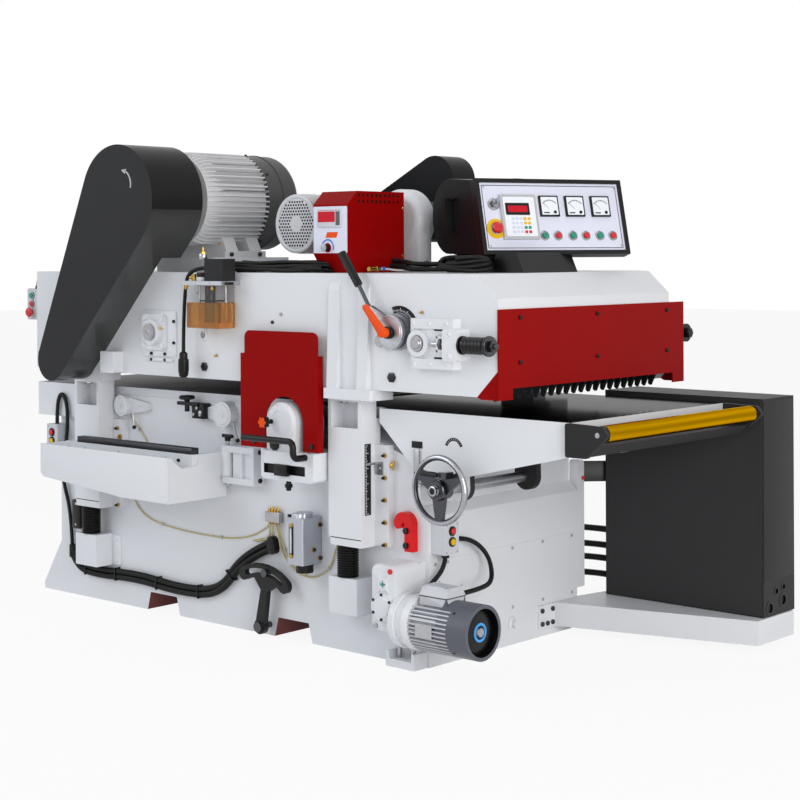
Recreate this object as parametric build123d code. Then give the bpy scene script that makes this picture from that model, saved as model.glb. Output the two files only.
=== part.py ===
"""Double-sided planer: two cutterheads, a feed track and a lifting head on a cast base.

Millimetres. +Z is up from the floor, +X points to the infeed end and -Y to the operator.
The origin is on the floor under the middle of the base.
"""
import os
from math import cos, dist, hypot, pi, radians, sin, tan

from build123d import *

# Driving dimensions: tables and base
TABLE_Z = 838.0
TABLE_PLATE = 30.0
BASE_LENGTH = 1944.0
BASE_WIDTH = 818.0
FORK_INNER = 254.0
FORK_OUTER = 440.0
FORK_HEIGHT = 68.0
FORK_TAPER = 18.0
FAR_WALL = 12.0
ANCHOR_RADIUS = 11.0
LUG_HEIGHT = 26.0
OUT_LUG_REACH = 113.0
OUT_LUG_WIDTH = 100.0
OUT_LUG_RIB = 180.0
IN_LUG_X = (840.0, 965.0)
IN_LUG_REACH = 64.0
RIB_PLATE = 14.0
WAY_TILT = 18.0
WAY_LOW = 650.0
WAY_GAP = 0.6
END_COVER_PLATE = 3.0
END_BREAK = 490.0
END_LEDGE = 34.0
PILLAR_X = 832.0
PILLAR_DEPTH = 46.0
PILLAR_LOW = 140.0
EAR_TOP = 598.0
EAR_WIDTH = 38.0

# Lower cutterhead and its slide-out carriage
CUT_X = 447.0
CUT_RADIUS = 62.0
KNIFE_STICKOUT = 1.5
KNIFE_COUNT = 4
WORK_WIDTH = 762.0
JOURNAL_RADIUS = 22.0
BORE_GAP = 0.5
BAY_OUT = 115.0
BAY_IN = 157.0
BAY_FLOOR = 578.0
BAY_GAP = 2.0
CARRIAGE_FRONT = 560.0
CARRIAGE_TOP = 680.0
CARRIAGE_X = (346.0, 598.0)
BEAM_HALF = 50.0
BEAM_HEIGHT = 52.0
HOUSING_RADIUS = 71.0
HOUSING_FRONT = 566.0
HANDLE_RADIUS = 11.0
GUARD_X = (252.0, 608.0)
GUARD_FACE = 548.0
GUARD_SHEET = 4.0
GUARD_TOP = 1085.0
GUARD_TAB = 20.0
GUARD_TAB_TOP = 1005.0
ARCH_HALF = 90.0
KNOB_RADIUS = 19.0

# Infeed and outfeed tables
OUT_END = -1085.0
OUT_SKIRT_END = -785.0
OUT_SKIRT_LOW = 706.0
SKIRT = 12.0
TABLE_HALF = 436.0
TABLE_HALF_NARROW = 402.0
TABLE_DROP = 2.0
TABLE_WIDE_FROM = 784.0
TABLE_END = 1562.0
LIP_GAP = 8.0
SADDLE_Y = (180.0, 300.0)
ROLLER_X = 1672.0
ROLLER_RADIUS = 27.0
ROLLER_END_GAP = 12.0
ROLLER_PIN = 8.0
BRACKET_PLATE = 10.0
WHEEL_X = 1115.0
WHEEL_Z = 603.0
WHEEL_Y = -520.0
WHEEL_RADIUS = 112.0
RIM_RADIUS = 9.5
SHAFT_RADIUS = 18.0
SHAFT_END = -30.0
HANGER_RADIUS = 46.0

# Columns and lift
COLUMN_X = 687.0
COLUMN_WIDTH = 150.0
COLUMN_FRONT = 503.0
COLUMN_BACK = 428.0
COLUMN_LOW = 404.0
COLUMN_TOP = 868.0
COLUMN_WALL = 14.0
COLUMN_FOOT = 27.0
SLIDE_GAP = 0.5
GIB_WIDTH = 60.0
GIB_DEPTH = 27.0
GIB_Z = (380.0, 715.0)
WAY_Z = (410.0, 800.0)
SCREW_OFFSET = -22.0
SCREW_RADIUS = 15.0
SCREW_TOP = 760.0
JACK_WIDTH = 128.0
JACK_FRONT = 492.0
JACK_Z = (146.0, 268.0)
BELLOWS_OUTER = 37.0
BELLOWS_INNER = 29.0
BELLOWS_WALL = 2.0
BELLOWS_FOLDS = 8
LEG_X = (622.0, 842.0)
LEG_FRONT = 540.0
LEG_RIBS = ((636.0, 682.0), (772.0, 818.0))
LEG_RIB_TOP = 1250.0

# Head
HEAD_HALF = 515.0
HEAD_WALL = 40.0
HEAD_LOW = 903.0
HEAD_HIGH = 1283.0
HEAD_OUT = -985.0
HEAD_IN = 1350.0
HOOD_CREST = 1267.0
HOOD_EDGE = 1208.0
HOOD_CHAMFER = 988.0
HEAD_SHEET = 18.0
HOOD_FAR = 434.0
HOOD_SETBACK = 84.0
RED_TOP = 1175.0
RED_LOW = 930.0
RED_TAB_LOW = 896.0
RED_SHEET = 5.0
RED_TAB = 70.0
UPPER_X = -695.0
UPPER_Z = 951.0
TRACK_DRIVE_X = -255.0
TRACK_IDLER_X = 1056.0
TRACK_Z = 1064.0
TRACK_CLEAR = 52.0
PAD_THICK = 24.0
PAD_PITCH = 96.0
PAD_GAP = 5.0
PAD_HALF = 380.0
DRUM_GAP = 6.0
TRACK_SHAFT = 25.0
FINGER_X = 1288.0
FINGER_RISE = 59.0
FINGER_COUNT = 22
FINGER_REACH = 6.0

# Upper drive
MOTOR_X = -300.0
MOTOR_Z = 1548.0
MOTOR_CORE = 166.0
MOTOR_FINS = 186.0
MOTOR_BODY = (-311.0, -72.0)
MOTOR_SHIELD = -398.0
COWL_RADIUS = 184.0
COWL_END = 96.0
FIN_COUNT = 30
FIN_PLATE = 6.0
SADDLE_HEIGHT = 52.0
PULLEY_Y = (-640.0, -560.0)
MOTOR_PULLEY = 95.0
CUTTER_PULLEY = 65.0
BELT_THICK = 9.0
BELT_GAP = 0.6
GUARD_BIG = 201.0
GUARD_SMALL = 80.0
BELT_GUARD_FACE = -665.0
BELT_GUARD_BACK = -425.0
BELT_SHEET = 4.0

# Control panel and stations
PANEL_CENTRE = (1165.0, 20.0, 1470.0)
PANEL_YAW = 24.0
PANEL_TILT = 15.0
PANEL_WIDTH = 560.0
PANEL_HEIGHT = 262.0
PANEL_DEPTH = 78.0
PANEL_FRAME = 14.0
PANEL_RECESS = 6.0
BUTTON_RADIUS = 10.4
BUTTON_HEIGHT = 9.0
BUTTON_STEM = 12.0
BEZEL_RADIUS = 15.0
BEZEL_HEIGHT = 4.0
BUTTON_CLEAR = 0.6
MUSHROOM_RADIUS = 20.0
MUSHROOM_HEIGHT = 26.0
PAIR_U = (-42.0, 66.0, 171.0)
PAIR_STEP = 51.0
BUTTON_V = -66.0
KEY_UV = (-221.0, 42.0)
METER_U = (-13.0, 86.0, 186.0)
METER_V = 36.0
METER_SIZE = 72.0
KEYPAD_U = (-199.0, -64.0)
KEYPAD_V = (-80.0, 74.0)
STOP_CLEAR = 2.5
STOP_UV = (KEYPAD_U[0] - STOP_CLEAR - MUSHROOM_RADIUS, -42.0)
STATION_DEPTH = 60.0
HEAD_STATION_X = (-1048.0, HEAD_OUT)
HEAD_STATION_Y = (-515.0, -445.0)
HEAD_STATION_Z = (1093.0, 1213.0)
HEAD_BUTTON_Z = {"head_start": 1187.0, "head_stop": 1154.0, "head_mushroom": 1121.0}
LEFT_STATION_X = (-986.0, -918.0)
LEFT_STATION_Z = (580.0, 676.0)
LEFT_BUTTON_Z = {"left_red_button": 644.0, "left_yellow_button": 610.0}
RIGHT_STATION_Y = (-396.0, -327.0)
RIGHT_STATION_Z = (370.0, 474.0)
RIGHT_BUTTON_Z = {"right_red_button": 446.0, "right_yellow_button": 411.0}

# Swing arm
ARM_PIVOT = (46.0, -440.0)
ARM_X = (-717.0, 22.0)
ARM_Y = (-700.0, -545.0)
ARM_TOP = 636.0
ARM_LOW = (474.0, 526.0)
ARM_END = 25.0
ARM_WALL = 12.0
ARM_FLOOR = 20.0
RAIL_HEIGHT = 22.0
RAIL_WIDTH = 34.0
HINGE_RADIUS = 22.0
HINGE_PIN = 10.0
HINGE_PLAY = 0.5
LINK_Z = (550.0, 640.0)
BRACKET_END = 204.0
BRACKET_PLATE = 18.0
BRACKET_WEB = 12.0
ARM_NECK = 28.0

# Cabinet and shelf
CABINET_X = (1031.0, 1675.0)
CABINET_Y = (500.0, 715.0)
CABINET_Z = (110.0, 850.0)
SHELF_LOW = 27.0
INLETS = ((548.0, 138.0, 18.0), (637.0, 154.0, 18.0), (592.0, 190.0, 11.0), (640.0, 198.0, 11.0))
INLET_DEPTH = 8.0

# Values that follow from the driving dimensions
BASE_X = BASE_LENGTH / 2
BASE_Y = BASE_WIDTH / 2
BED_TOP = TABLE_Z - TABLE_PLATE
CUT_Z = TABLE_Z - CUT_RADIUS - KNIFE_STICKOUT
BAY_X = (CUT_X - BAY_OUT, CUT_X + BAY_IN)
INFEED_Z = TABLE_Z - TABLE_DROP
BODY_HALF = WORK_WIDTH / 2
ANCHOR_OUT = (-BASE_X - OUT_LUG_REACH / 2, BASE_Y - OUT_LUG_WIDTH / 2)
ANCHOR_IN = (sum(IN_LUG_X) / 2, BASE_Y + IN_LUG_REACH / 2)
SCREW_X = COLUMN_X + SCREW_OFFSET
SCREW_Y = (COLUMN_FRONT + COLUMN_BACK) / 2
ROLLER_Z = INFEED_Z - ROLLER_RADIUS - 2.0
ROLLER_HALF = TABLE_HALF - ROLLER_END_GAP
TRACK_LOW = TABLE_Z + TRACK_CLEAR
FINGER_Z = HEAD_LOW + FINGER_RISE
FINGER_TIP = TRACK_LOW - FINGER_REACH
PAD_OUTER = TRACK_Z - TRACK_LOW
PAD_INNER = PAD_OUTER - PAD_THICK
RIGHT_STATION_X = (BASE_X, BASE_X + STATION_DEPTH)
LEFT_STATION_Y = (-BASE_Y - STATION_DEPTH, -BASE_Y)


# Bosses, knuckles and cover on the base
BOSS_Z = 770.0
BOSSES = ((-553.0, 40.0, -428.0), (22.0, 46.0, -86.0))
BOSS_SMALL = 17.0
BOSS_LINK = 16.0
BOSS_DISC = 36.0
KNUCKLE_HEIGHT = 22.0
END_COVER_Y = (-396.0, 396.0)
END_COVER_Z = (118.0, 345.0)
DRAIN_YZ = (28.0, 72.0)

# Table skirts, shaft hangers and wheel grip
HANGER_Y = ((-424.0, -400.0), (-78.0, -52.0))
SKIRT_KEEL = ((934.0, 649.0), (1153.0, 638.0), (1518.0, 722.0))
SKIRT_START_LOW = 790.0
SPOKE_ROOT = 30.0
SPOKE_TIP = 14.0
SPOKE_Y = (-5.0, 7.0)
GRIP_RADIUS = 9.0
GRIP_LENGTH = 72.0
GRIP_EYE = 7.0
GRIP_PIN = 3.0
GRIP_STEM = 4.0
GRIP_CHEEK = 5.5
GRIP_FORK = 10.0
GRIP_PLAY = 0.5
GRIP_START = 12.0
GRIP_X = WHEEL_X + 30.0
GRIP_Y = WHEEL_Y - 30.0
GRIP_Z = WHEEL_Z + 52.0

# Carriage handle and knob
HANDLE_Y = -618.0
HANDLE_Z = 724.0
HANDLE_X = (318.0, 560.0)
HANDLE_BEND = 22.0
HANDLE_FOOT = 14.0
KNOB_X = CUT_X - 42.0
KNOB_Z = CUT_Z + 4.0

# Gear motor, oiler, quadrant and hook
GEAR_Y = -510.0
GEAR_Z = 176.0
GEARBOX_X = (864.0, 962.0)
GEARBOX_Y = (-562.0, -440.0)
GEARBOX_Z = (138.0, 350.0)
GEAR_FLANGE = 90.0
GEAR_MOTOR = 71.0
GEAR_FIN = 82.0
GEAR_COWL = 87.0
GEAR_FINS = 26
OILER_X = (415.0, 489.0)
OILER_Y = -504.0
OILER_Z = (286.0, 446.0)
PUMP_PIVOT = (OILER_X[0] - 13.0, -478.0, OILER_Z[0] + 12.0)
QUAD_PIVOT = (230.0, 38.0)
QUAD_Y = (-462.0, -442.0)
QUAD_RADIUS = 196.0
QUAD_BAND = 24.0
QUAD_SLOT = 9.0
QUAD_ARC = (52.0, 114.0)
QUAD_BOLT_ANGLE = 80.0
HOOK_X = (846.0, 926.0)
HOOK_Z = (374.0, 502.0)
HOOK_BAR = 34.0
HOOK_Y = -437.0

# Cables and tubes along the base
CONDUIT_RADIUS = 13.0
CONDUIT_Y = -BASE_Y - CONDUIT_RADIUS - 1.0
CONDUIT_XZ = ((-884.0, 167.0), (-850.0, 112.0), (-726.0, 98.0), (-482.0, 112.0), (-237.0, 91.0),
              (-17.0, 108.0), (110.0, 256.0), (262.0, 313.0))
OIL_RADIUS = 3.0
OIL_Y = -BASE_Y - OIL_RADIUS - 0.5
OIL_XZ = ((-522.0, 440.0), (-496.0, 350.0), (-196.0, 315.0), (160.0, 322.0), (246.0, 404.0))
STATION_LEAD = 8.0
LEFT_LEAD = ((-947.0, 676.0), (-947.0, 752.0), (-922.0, 803.0), (-888.0, 780.0), (-876.0, 690.0),
             (-905.0, 520.0), (-944.0, 450.0), (-890.0, 320.0), (-884.0, 167.0))
LEFT_LEAD_Y = -max(TABLE_HALF, BASE_Y) - 12.0
RIGHT_LEAD = ((1004.0, -362.0, 370.0), (1004.0, -362.0, 330.0), (1014.0, -440.0, 285.0),
              (1030.0, -490.0, 278.0), (1061.9, -490.0, 278.0))
RIGHT_LOOP = ((1004.0, -326.9, 412.0), (1004.0, -250.0, 412.0), (1012.0, -150.0, 345.0),
              (1050.0, -170.0, 262.0), (1130.0, -330.0, 266.0), (1130.0, -463.9, 266.0))
DUCT_Y = 530.0
DUCT_Z = (516.0, 590.0)
LINK_CABLES_Z = (342.0, 284.0, 236.0, 178.0)
LINK_CABLE_RADIUS = 12.0
LINK_Y = 560.0
MANIFOLD_X = (228.0, 300.0)
MANIFOLD_Z = (404.0, 440.0)
MANIFOLD_DEPTH = 22.0

# Head ties, flange bearing and dial
TIE_X = (-885.0, -600.0, -500.0)
FLANGE_SIZE = 66.0
LEAD_BOX_X = (-526.0, -448.0)
LEAD_BOX_Z = (905.0, 985.0)
LEAD_BOX_DEPTH = 48.0
DIAL_X = 945.0
DIAL_Z = 1096.0
DIAL_RADIUS = 60.0
DIAL_HEIGHT = 24.0

# Track take-up and fingers
TAKE_X = (1019.0, 1201.0)
TAKE_Z = (985.0, 1143.0)
TAKE_DEPTH = 30.0
TAKE_BLOCK_X = (1176.0, 1236.0)
TAKE_BLOCK_HALF = 50.0
TAKE_BLOCK_DEPTH = 62.0
SPRING_RADIUS = 27.0
SPRING_WIRE = 4.0
SPRING_COILS = 7
SPRING_PITCH = 11.0
SPRING_Y = -HEAD_HALF - 38.0
SPRING_LEAD = 8.0
SPRING_SPAN = SPRING_COILS * SPRING_PITCH + 4 * SPRING_LEAD
FINGER_BAR = 12.0
FINGER_PLATE = 14.0

# Motors and boxes on the head
TRACK_MOTOR_X = 360.0
TRACK_MOTOR_Z = HEAD_HIGH + 170.0
TRACK_MOTOR_RADIUS = 105.0
TRACK_MOTOR_Y = (-400.0, -110.0)
SPEED_X = (494.0, 656.0)
SPEED_Y = (-450.0, -166.0)
SPEED_Z = (HEAD_HIGH, 1560.0)
SPEED_BREAK = (1348.0, 1515.0)
SPEED_SLOPE = 46.0
SPEED_KNOB = (563.0, 1368.0)
SPEED_KNOB_RADIUS = 11.0
REAR_TOP = (395.0, 1623.0, 94.0)
REAR_LOW = (20.0, 1410.0, 112.0)
REAR_Y = (300.0, 430.0)
COVER_X = (611.0, 860.0)
COVER_Z = 1476.0
COVER_RADIUS = 137.0
COVER_Y = (200.0, 292.0)
REAR_MOTOR_X = 562.0
REAR_MOTOR_Z = 1462.0
REAR_MOTOR_RADIUS = 114.0
REAR_MOTOR_Y = (-104.0, -24.0)

# Lubricator, levers and cable bundles
LUBE_X = (8.0, 178.0)
LUBE_Y = (-602.0, -520.0)
LUBE_Z = (1088.0, 1240.0)
CRANK_Y = (-HEAD_HALF - DIAL_HEIGHT - 22.0, -HEAD_HALF - DIAL_HEIGHT - 1.0)
CRANK_BEND = (852.0, 1166.0)
CRANK_GRIP = (800.0, 1246.0)
CRANK_TIP = (724.0, 1350.0)
CLAMP_Y = (-HEAD_HALF - 86.0, -HEAD_HALF - 48.0)
CLAMP_TIP = (872.0, 1176.0)
BUNDLE_Z = HEAD_HIGH + 14.0

# Shape helpers
def block(x, y, z):
    """Box between three (low, high) spans."""
    size = [span[1] - span[0] for span in (x, y, z)]
    middle = [(span[0] + span[1]) / 2 for span in (x, y, z)]
    return Pos(*middle) * Box(*size)


def rod(start, direction, radius, length):
    """Round bar from a point along a direction."""
    bar = Cylinder(radius, length, align=(Align.CENTER, Align.CENTER, Align.MIN))
    return Plane(origin=start, z_dir=direction) * bar


def bar_y(x, z, radius, y):
    """Round bar along Y between a (low, high) span."""
    return rod((x, y[0], z), (0, 1, 0), radius, y[1] - y[0])


def bar_x(y, z, radius, x):
    """Round bar along X between a (low, high) span."""
    return rod((x[0], y, z), (1, 0, 0), radius, x[1] - x[0])


def bar_z(x, y, radius, z):
    """Round bar along Z between a (low, high) span."""
    return rod((x, y, z[0]), (0, 0, 1), radius, z[1] - z[0])


def outline(points, corner=0.0):
    """Closed face through points, with every corner rounded when a radius is given."""
    face = make_face(Polyline(*points, close=True))
    if corner > 0:
        face = fillet(face.vertices(), corner)
    return face


def plate_xz(sketch, y):
    """Sketch with X across and Z up, as a plate over a Y span."""
    plane = Plane((0, y[1], 0), x_dir=(1, 0, 0), z_dir=(0, -1, 0))
    return extrude(plane * sketch, amount=y[1] - y[0])


def plate_yz(sketch, x):
    """Sketch with Y across and Z up, as a plate over an X span."""
    plane = Plane((x[0], 0, 0), x_dir=(0, 1, 0), z_dir=(1, 0, 0))
    return extrude(plane * sketch, amount=x[1] - x[0])


def plate_xy(sketch, z):
    """Sketch with X across and Y up the page, as a plate over a Z span."""
    return extrude(Plane((0, 0, z[0])) * sketch, amount=z[1] - z[0])


def disc_at(x, z, radius):
    return Pos(x, z) * Circle(radius)


def hull_of(*discs):
    """Outline of a band stretched round (x, z, radius) discs."""
    edges = [edge for disc in discs for edge in disc_at(*disc).edges()]
    return make_hull(edges)


def group(*parts):
    """One node made of several separate solids."""
    return Compound([solid for part in parts for solid in part.solids()])


def both_sides(part):
    """The part and its mirror image across the centre plane of the machine."""
    return [part, mirror(part, about=Plane.XZ)]


def four_columns(part):
    """Copies at the four columns of a part made at the operator's infeed column."""
    near = [part, Pos(-2 * COLUMN_X, 0, 0) * part]
    return near + [mirror(copy, about=Plane.XZ) for copy in near]


def way_height(x):
    """Height of the inclined infeed way above the floor."""
    return WAY_LOW + (BASE_X - x) * tan(radians(WAY_TILT))


def tube(points, radius, radii):
    """Bent tube along straight runs joined by tangent arcs."""
    path = FilletPolyline(*points, radius=radii)
    start = Plane(origin=points[0], z_dir=path % 0)
    return sweep(start * Circle(radius), path=path)


def bend_radii(points):
    """Largest arc radius that each corner of a route leaves room for."""
    radii = []
    for before, here, after in zip(points, points[1:], points[2:]):
        first = Vector(*here) - Vector(*before)
        second = Vector(*after) - Vector(*here)
        turn = radians(first.get_angle(second))
        radii.append(0.45 * min(first.length, second.length) / tan(turn / 2))
    return radii


def route(points, radius):
    """Cable tube through hand-picked points."""
    radii = bend_radii(points)
    print("bend radii", [round(value) for value in radii])
    return tube(points, radius, radii)


# Base and everything fixed to it
def base_frame():
    """Base casting built up from its sill, bed, inclined way and bay wall, with what is bolted on."""
    slots = []
    for low, high in ((-FORK_OUTER, -FORK_INNER), (FORK_INNER, FORK_OUTER)):
        slots += [(low, 0), (low + FORK_TAPER, FORK_HEIGHT), (high - FORK_TAPER, FORK_HEIGHT), (high, 0)]
    ledge = BASE_X - END_LEDGE
    profile = [(-BASE_X, 0), *slots, (BASE_X, 0), (BASE_X, END_BREAK), (ledge, END_BREAK + END_LEDGE)]
    profile += [(ledge, BAY_FLOOR), (-BASE_X, BAY_FLOOR)]
    width = (-BASE_Y, BASE_Y)
    sill = plate_xz(outline(profile), width)
    bed = block((-BASE_X, BAY_X[0]), width, (BAY_FLOOR, BED_TOP))
    way = [(BAY_X[1], BAY_FLOOR), (ledge, BAY_FLOOR), (ledge, way_height(ledge)),
           (BAY_X[1], way_height(BAY_X[1]))]
    wedge = plate_xz(outline(way), width)
    far_wall = block(BAY_X, (BASE_Y - FAR_WALL, BASE_Y), (BAY_FLOOR, way_height(BAY_X[1])))
    fittings = [*foot_lugs(), *bed_bosses(), *arm_bracket(), far_pillar(), end_cover(), quadrant_bolts()]
    return group(sill, bed, wedge, far_wall, *fittings)


def far_pillar():
    """Pillar on the far infeed corner, with a rounded ear above the end face."""
    y = (BASE_Y, BASE_Y + PILLAR_DEPTH)
    pillar = block((PILLAR_X, BASE_X), y, (PILLAR_LOW, END_BREAK))
    ear = block((BASE_X - EAR_WIDTH, BASE_X), (y[1] - EAR_WIDTH, y[1]), (END_BREAK, EAR_TOP))
    return pillar + fillet(ear.edges().filter_by(Axis.X).group_by(Axis.Z)[-1], EAR_WIDTH / 3)


def foot_lugs():
    """Anchor lugs at the four corners, ribbed at the outfeed end."""
    lugs = []
    x_out = (-BASE_X - OUT_LUG_REACH, -BASE_X)
    y_out = (-BASE_Y, -BASE_Y + OUT_LUG_WIDTH)
    out = block(x_out, y_out, (0, LUG_HEIGHT))
    rib = outline([(x_out[0], LUG_HEIGHT), (x_out[1], LUG_HEIGHT), (x_out[1], LUG_HEIGHT + OUT_LUG_RIB)])
    out += plate_xz(rib, (y_out[0], y_out[0] + RIB_PLATE))
    out += plate_xz(rib, (y_out[1] - RIB_PLATE, y_out[1]))
    out -= bar_z(ANCHOR_OUT[0], -ANCHOR_OUT[1], ANCHOR_RADIUS, (0, LUG_HEIGHT))
    into = block(IN_LUG_X, (-BASE_Y - IN_LUG_REACH, -BASE_Y), (0, LUG_HEIGHT))
    for x in IN_LUG_X:
        side = (x - RIB_PLATE, x) if x == IN_LUG_X[1] else (x, x + RIB_PLATE)
        into += block(side, (-BASE_Y - IN_LUG_REACH, -BASE_Y), (LUG_HEIGHT, 2 * LUG_HEIGHT))
    into -= bar_z(ANCHOR_IN[0], -ANCHOR_IN[1], ANCHOR_RADIUS, (0, LUG_HEIGHT))
    for lug in (out, into):
        lugs += both_sides(lug)
    return lugs


def bed_bosses():
    """Eccentric housings of the two bed rollers, a disc with a tapered link."""
    bosses = []
    for x, radius, small_x in BOSSES:
        link = hull_of((x, BOSS_Z, radius - 6), (small_x, BOSS_Z, BOSS_SMALL))
        boss = plate_xz(link, (-BASE_Y - BOSS_LINK, -BASE_Y))
        bosses.append(boss + plate_xz(disc_at(x, BOSS_Z, radius), (-BASE_Y - BOSS_DISC, -BASE_Y)))
    return bosses


def arm_bracket():
    """H-frame bolted to the base side, with the two knuckles and the pin that carry the swing arm."""
    x, y = ARM_PIVOT
    foot = (BRACKET_END - BRACKET_PLATE, BRACKET_END)
    width = (y - HINGE_RADIUS, y + HINGE_RADIUS)
    tall = (LINK_Z[0] - KNUCKLE_HEIGHT, LINK_Z[1] + KNUCKLE_HEIGHT)
    pieces = [block(foot, (width[0], -BASE_Y), tall), bar_z(x, y, HINGE_PIN, LINK_Z)]
    for span in ((tall[0], LINK_Z[0]), (LINK_Z[1], tall[1])):
        pieces.append(bar_z(x, y, HINGE_RADIUS, span) + block((x, foot[0]), width, span))
    web_start = x + HINGE_RADIUS + BRACKET_WEB
    pieces.append(block((web_start, foot[0]), (y - BRACKET_WEB / 2, y + BRACKET_WEB / 2), LINK_Z))
    middle = (web_start + foot[0]) / 2
    pieces.append(block((middle - 5, middle + 5), (width[0] + 4, y - BRACKET_WEB / 2), LINK_Z))
    return pieces


def end_cover():
    """Access plate and drain plug on the infeed end of the base."""
    plate = block((BASE_X, BASE_X + END_COVER_PLATE), END_COVER_Y, END_COVER_Z)
    plug = bar_x(*DRAIN_YZ, 22.0, (BASE_X, BASE_X + 8)) + bar_x(*DRAIN_YZ, 12.0, (BASE_X, BASE_X + 20))
    return group(plate, plug)


def lift_guides():
    """Way strips, gib plates, jack boxes and lift screws at the four columns."""
    x_low = COLUMN_X - COLUMN_WIDTH / 2
    x_high = COLUMN_X + COLUMN_WIDTH / 2
    strip = block((x_low, x_high), (-COLUMN_BACK + SLIDE_GAP, -BASE_Y), WAY_Z)
    gib = block((x_high + SLIDE_GAP, x_high + GIB_WIDTH), (-BASE_Y - GIB_DEPTH, -BASE_Y), GIB_Z)
    x_jack = (SCREW_X - JACK_WIDTH / 2, SCREW_X + JACK_WIDTH / 2)
    jack = block(x_jack, (-JACK_FRONT, -BASE_Y), JACK_Z)
    jack += bar_z(SCREW_X, -SCREW_Y, SCREW_RADIUS, (JACK_Z[1], SCREW_TOP))
    return group(*[copy for piece in (strip, gib, jack) for copy in four_columns(piece)])


def screw_bellows():
    """Folded sleeves over the lift screws between the jack boxes and the column feet."""
    low = JACK_Z[1]
    high = COLUMN_LOW - COLUMN_FOOT
    step = (high - low) / (2 * BELLOWS_FOLDS)
    outer = []
    for index in range(2 * BELLOWS_FOLDS + 1):
        radius = BELLOWS_INNER if index % 2 == 0 else BELLOWS_OUTER
        outer.append((radius, low + index * step))
    inner = [(radius - BELLOWS_WALL, z) for radius, z in reversed(outer)]
    sleeve = revolve(Plane.XZ * outline(outer + inner), axis=Axis.Z)
    return group(*four_columns(Pos(SCREW_X, -SCREW_Y, 0) * sleeve))


def outfeed_table():
    """Outfeed plate behind the lower cutterhead, with skirts past the base."""
    lip = CUT_X - CUT_RADIUS - LIP_GAP
    wide = TABLE_HALF
    plan = [(OUT_END, -wide), (OUT_SKIRT_END, -wide), (OUT_SKIRT_END, -TABLE_HALF_NARROW)]
    plan += [(lip, -TABLE_HALF_NARROW), (lip, TABLE_HALF_NARROW), (OUT_SKIRT_END, TABLE_HALF_NARROW)]
    plan += [(OUT_SKIRT_END, wide), (OUT_END, wide)]
    table = plate_xy(outline(plan), (BED_TOP, TABLE_Z))
    skirt = block((OUT_END, OUT_SKIRT_END), (-wide, -wide + SKIRT), (OUT_SKIRT_LOW, BED_TOP))
    end = block((OUT_END, OUT_END + SKIRT), (-wide, wide), (OUT_SKIRT_LOW, BED_TOP))
    table += [*both_sides(skirt), end]
    bevel = plate_xz(outline([(lip - 2 * LIP_GAP, BED_TOP), (lip, BED_TOP), (lip, BED_TOP + LIP_GAP * 2)]),
                     (-TABLE_HALF_NARROW, TABLE_HALF_NARROW))
    return table - bevel


# Infeed table and its depth drive
def infeed_table():
    """Infeed plate with skirts, saddles on the inclined way, shaft hangers and roller brackets."""
    top = (INFEED_Z - TABLE_PLATE, INFEED_Z)
    lip = CUT_X + CUT_RADIUS + KNIFE_STICKOUT + LIP_GAP
    plan = [(lip, -TABLE_HALF_NARROW), (TABLE_WIDE_FROM, -TABLE_HALF_NARROW), (TABLE_WIDE_FROM, -TABLE_HALF)]
    plan += [(TABLE_END, -TABLE_HALF), (TABLE_END, TABLE_HALF), (TABLE_WIDE_FROM, TABLE_HALF)]
    plan += [(TABLE_WIDE_FROM, TABLE_HALF_NARROW), (lip, TABLE_HALF_NARROW)]
    table = plate_xy(outline(plan), top)
    bevel = plate_xz(outline([(lip, top[0]), (lip + 2 * LIP_GAP, top[0]), (lip, top[0] + 2 * LIP_GAP)]),
                     (-TABLE_HALF_NARROW, TABLE_HALF_NARROW))
    table -= bevel
    for part in (table_skirt(top[0]), table_saddle(top[0])):
        table += both_sides(part)
    table += block((TABLE_END - SKIRT, TABLE_END), (-TABLE_HALF, TABLE_HALF), (top[0] - 72, top[0]))
    for y in HANGER_Y:
        table += shaft_hanger(y, top[0])
    return group(table, *both_sides(roller_bracket()), roller_crossbar())


def table_skirt(top):
    """Tapered side plate under the infeed table."""
    points = [(TABLE_WIDE_FROM, top), (TABLE_WIDE_FROM, SKIRT_START_LOW), *SKIRT_KEEL]
    points += [(TABLE_END, top - 72), (TABLE_END, top)]
    return plate_xz(outline(points), (-TABLE_HALF, -TABLE_HALF + SKIRT))


def table_saddle(top):
    """Inclined bar that slides on the base way."""
    low = BAY_X[1] + 40
    high = BASE_X - END_LEDGE
    lift = WAY_GAP / cos(radians(WAY_TILT))
    points = [(low, way_height(low) + lift), (high, way_height(high) + lift), (high, top), (low, top)]
    return plate_xz(outline(points), (-SADDLE_Y[1], -SADDLE_Y[0]))


def shaft_hanger(y, top):
    """Bearing plate that hangs from the table and carries the cross shaft."""
    upper = HANGER_RADIUS * 0.9
    shape = hull_of((WHEEL_X, WHEEL_Z, HANGER_RADIUS), (WHEEL_X, top - upper, upper))
    plate = plate_xz(shape, y)
    return plate - bar_y(WHEEL_X, WHEEL_Z, SHAFT_RADIUS + BORE_GAP, y)


def roller_bracket():
    """Side cheek that carries one end of the infeed roller."""
    reach = ROLLER_X + 38
    points = [(TABLE_END - 8, INFEED_Z), (ROLLER_X + 18, INFEED_Z - 4), (reach, ROLLER_Z)]
    points += [(ROLLER_X - 42, INFEED_Z - 102), (TABLE_END - 8, INFEED_Z - 102)]
    y = (-TABLE_HALF - BRACKET_PLATE, -TABLE_HALF)
    return plate_xz(outline(points, 7.0), y) - bar_y(ROLLER_X, ROLLER_Z, ROLLER_PIN + BORE_GAP, y)


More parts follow.
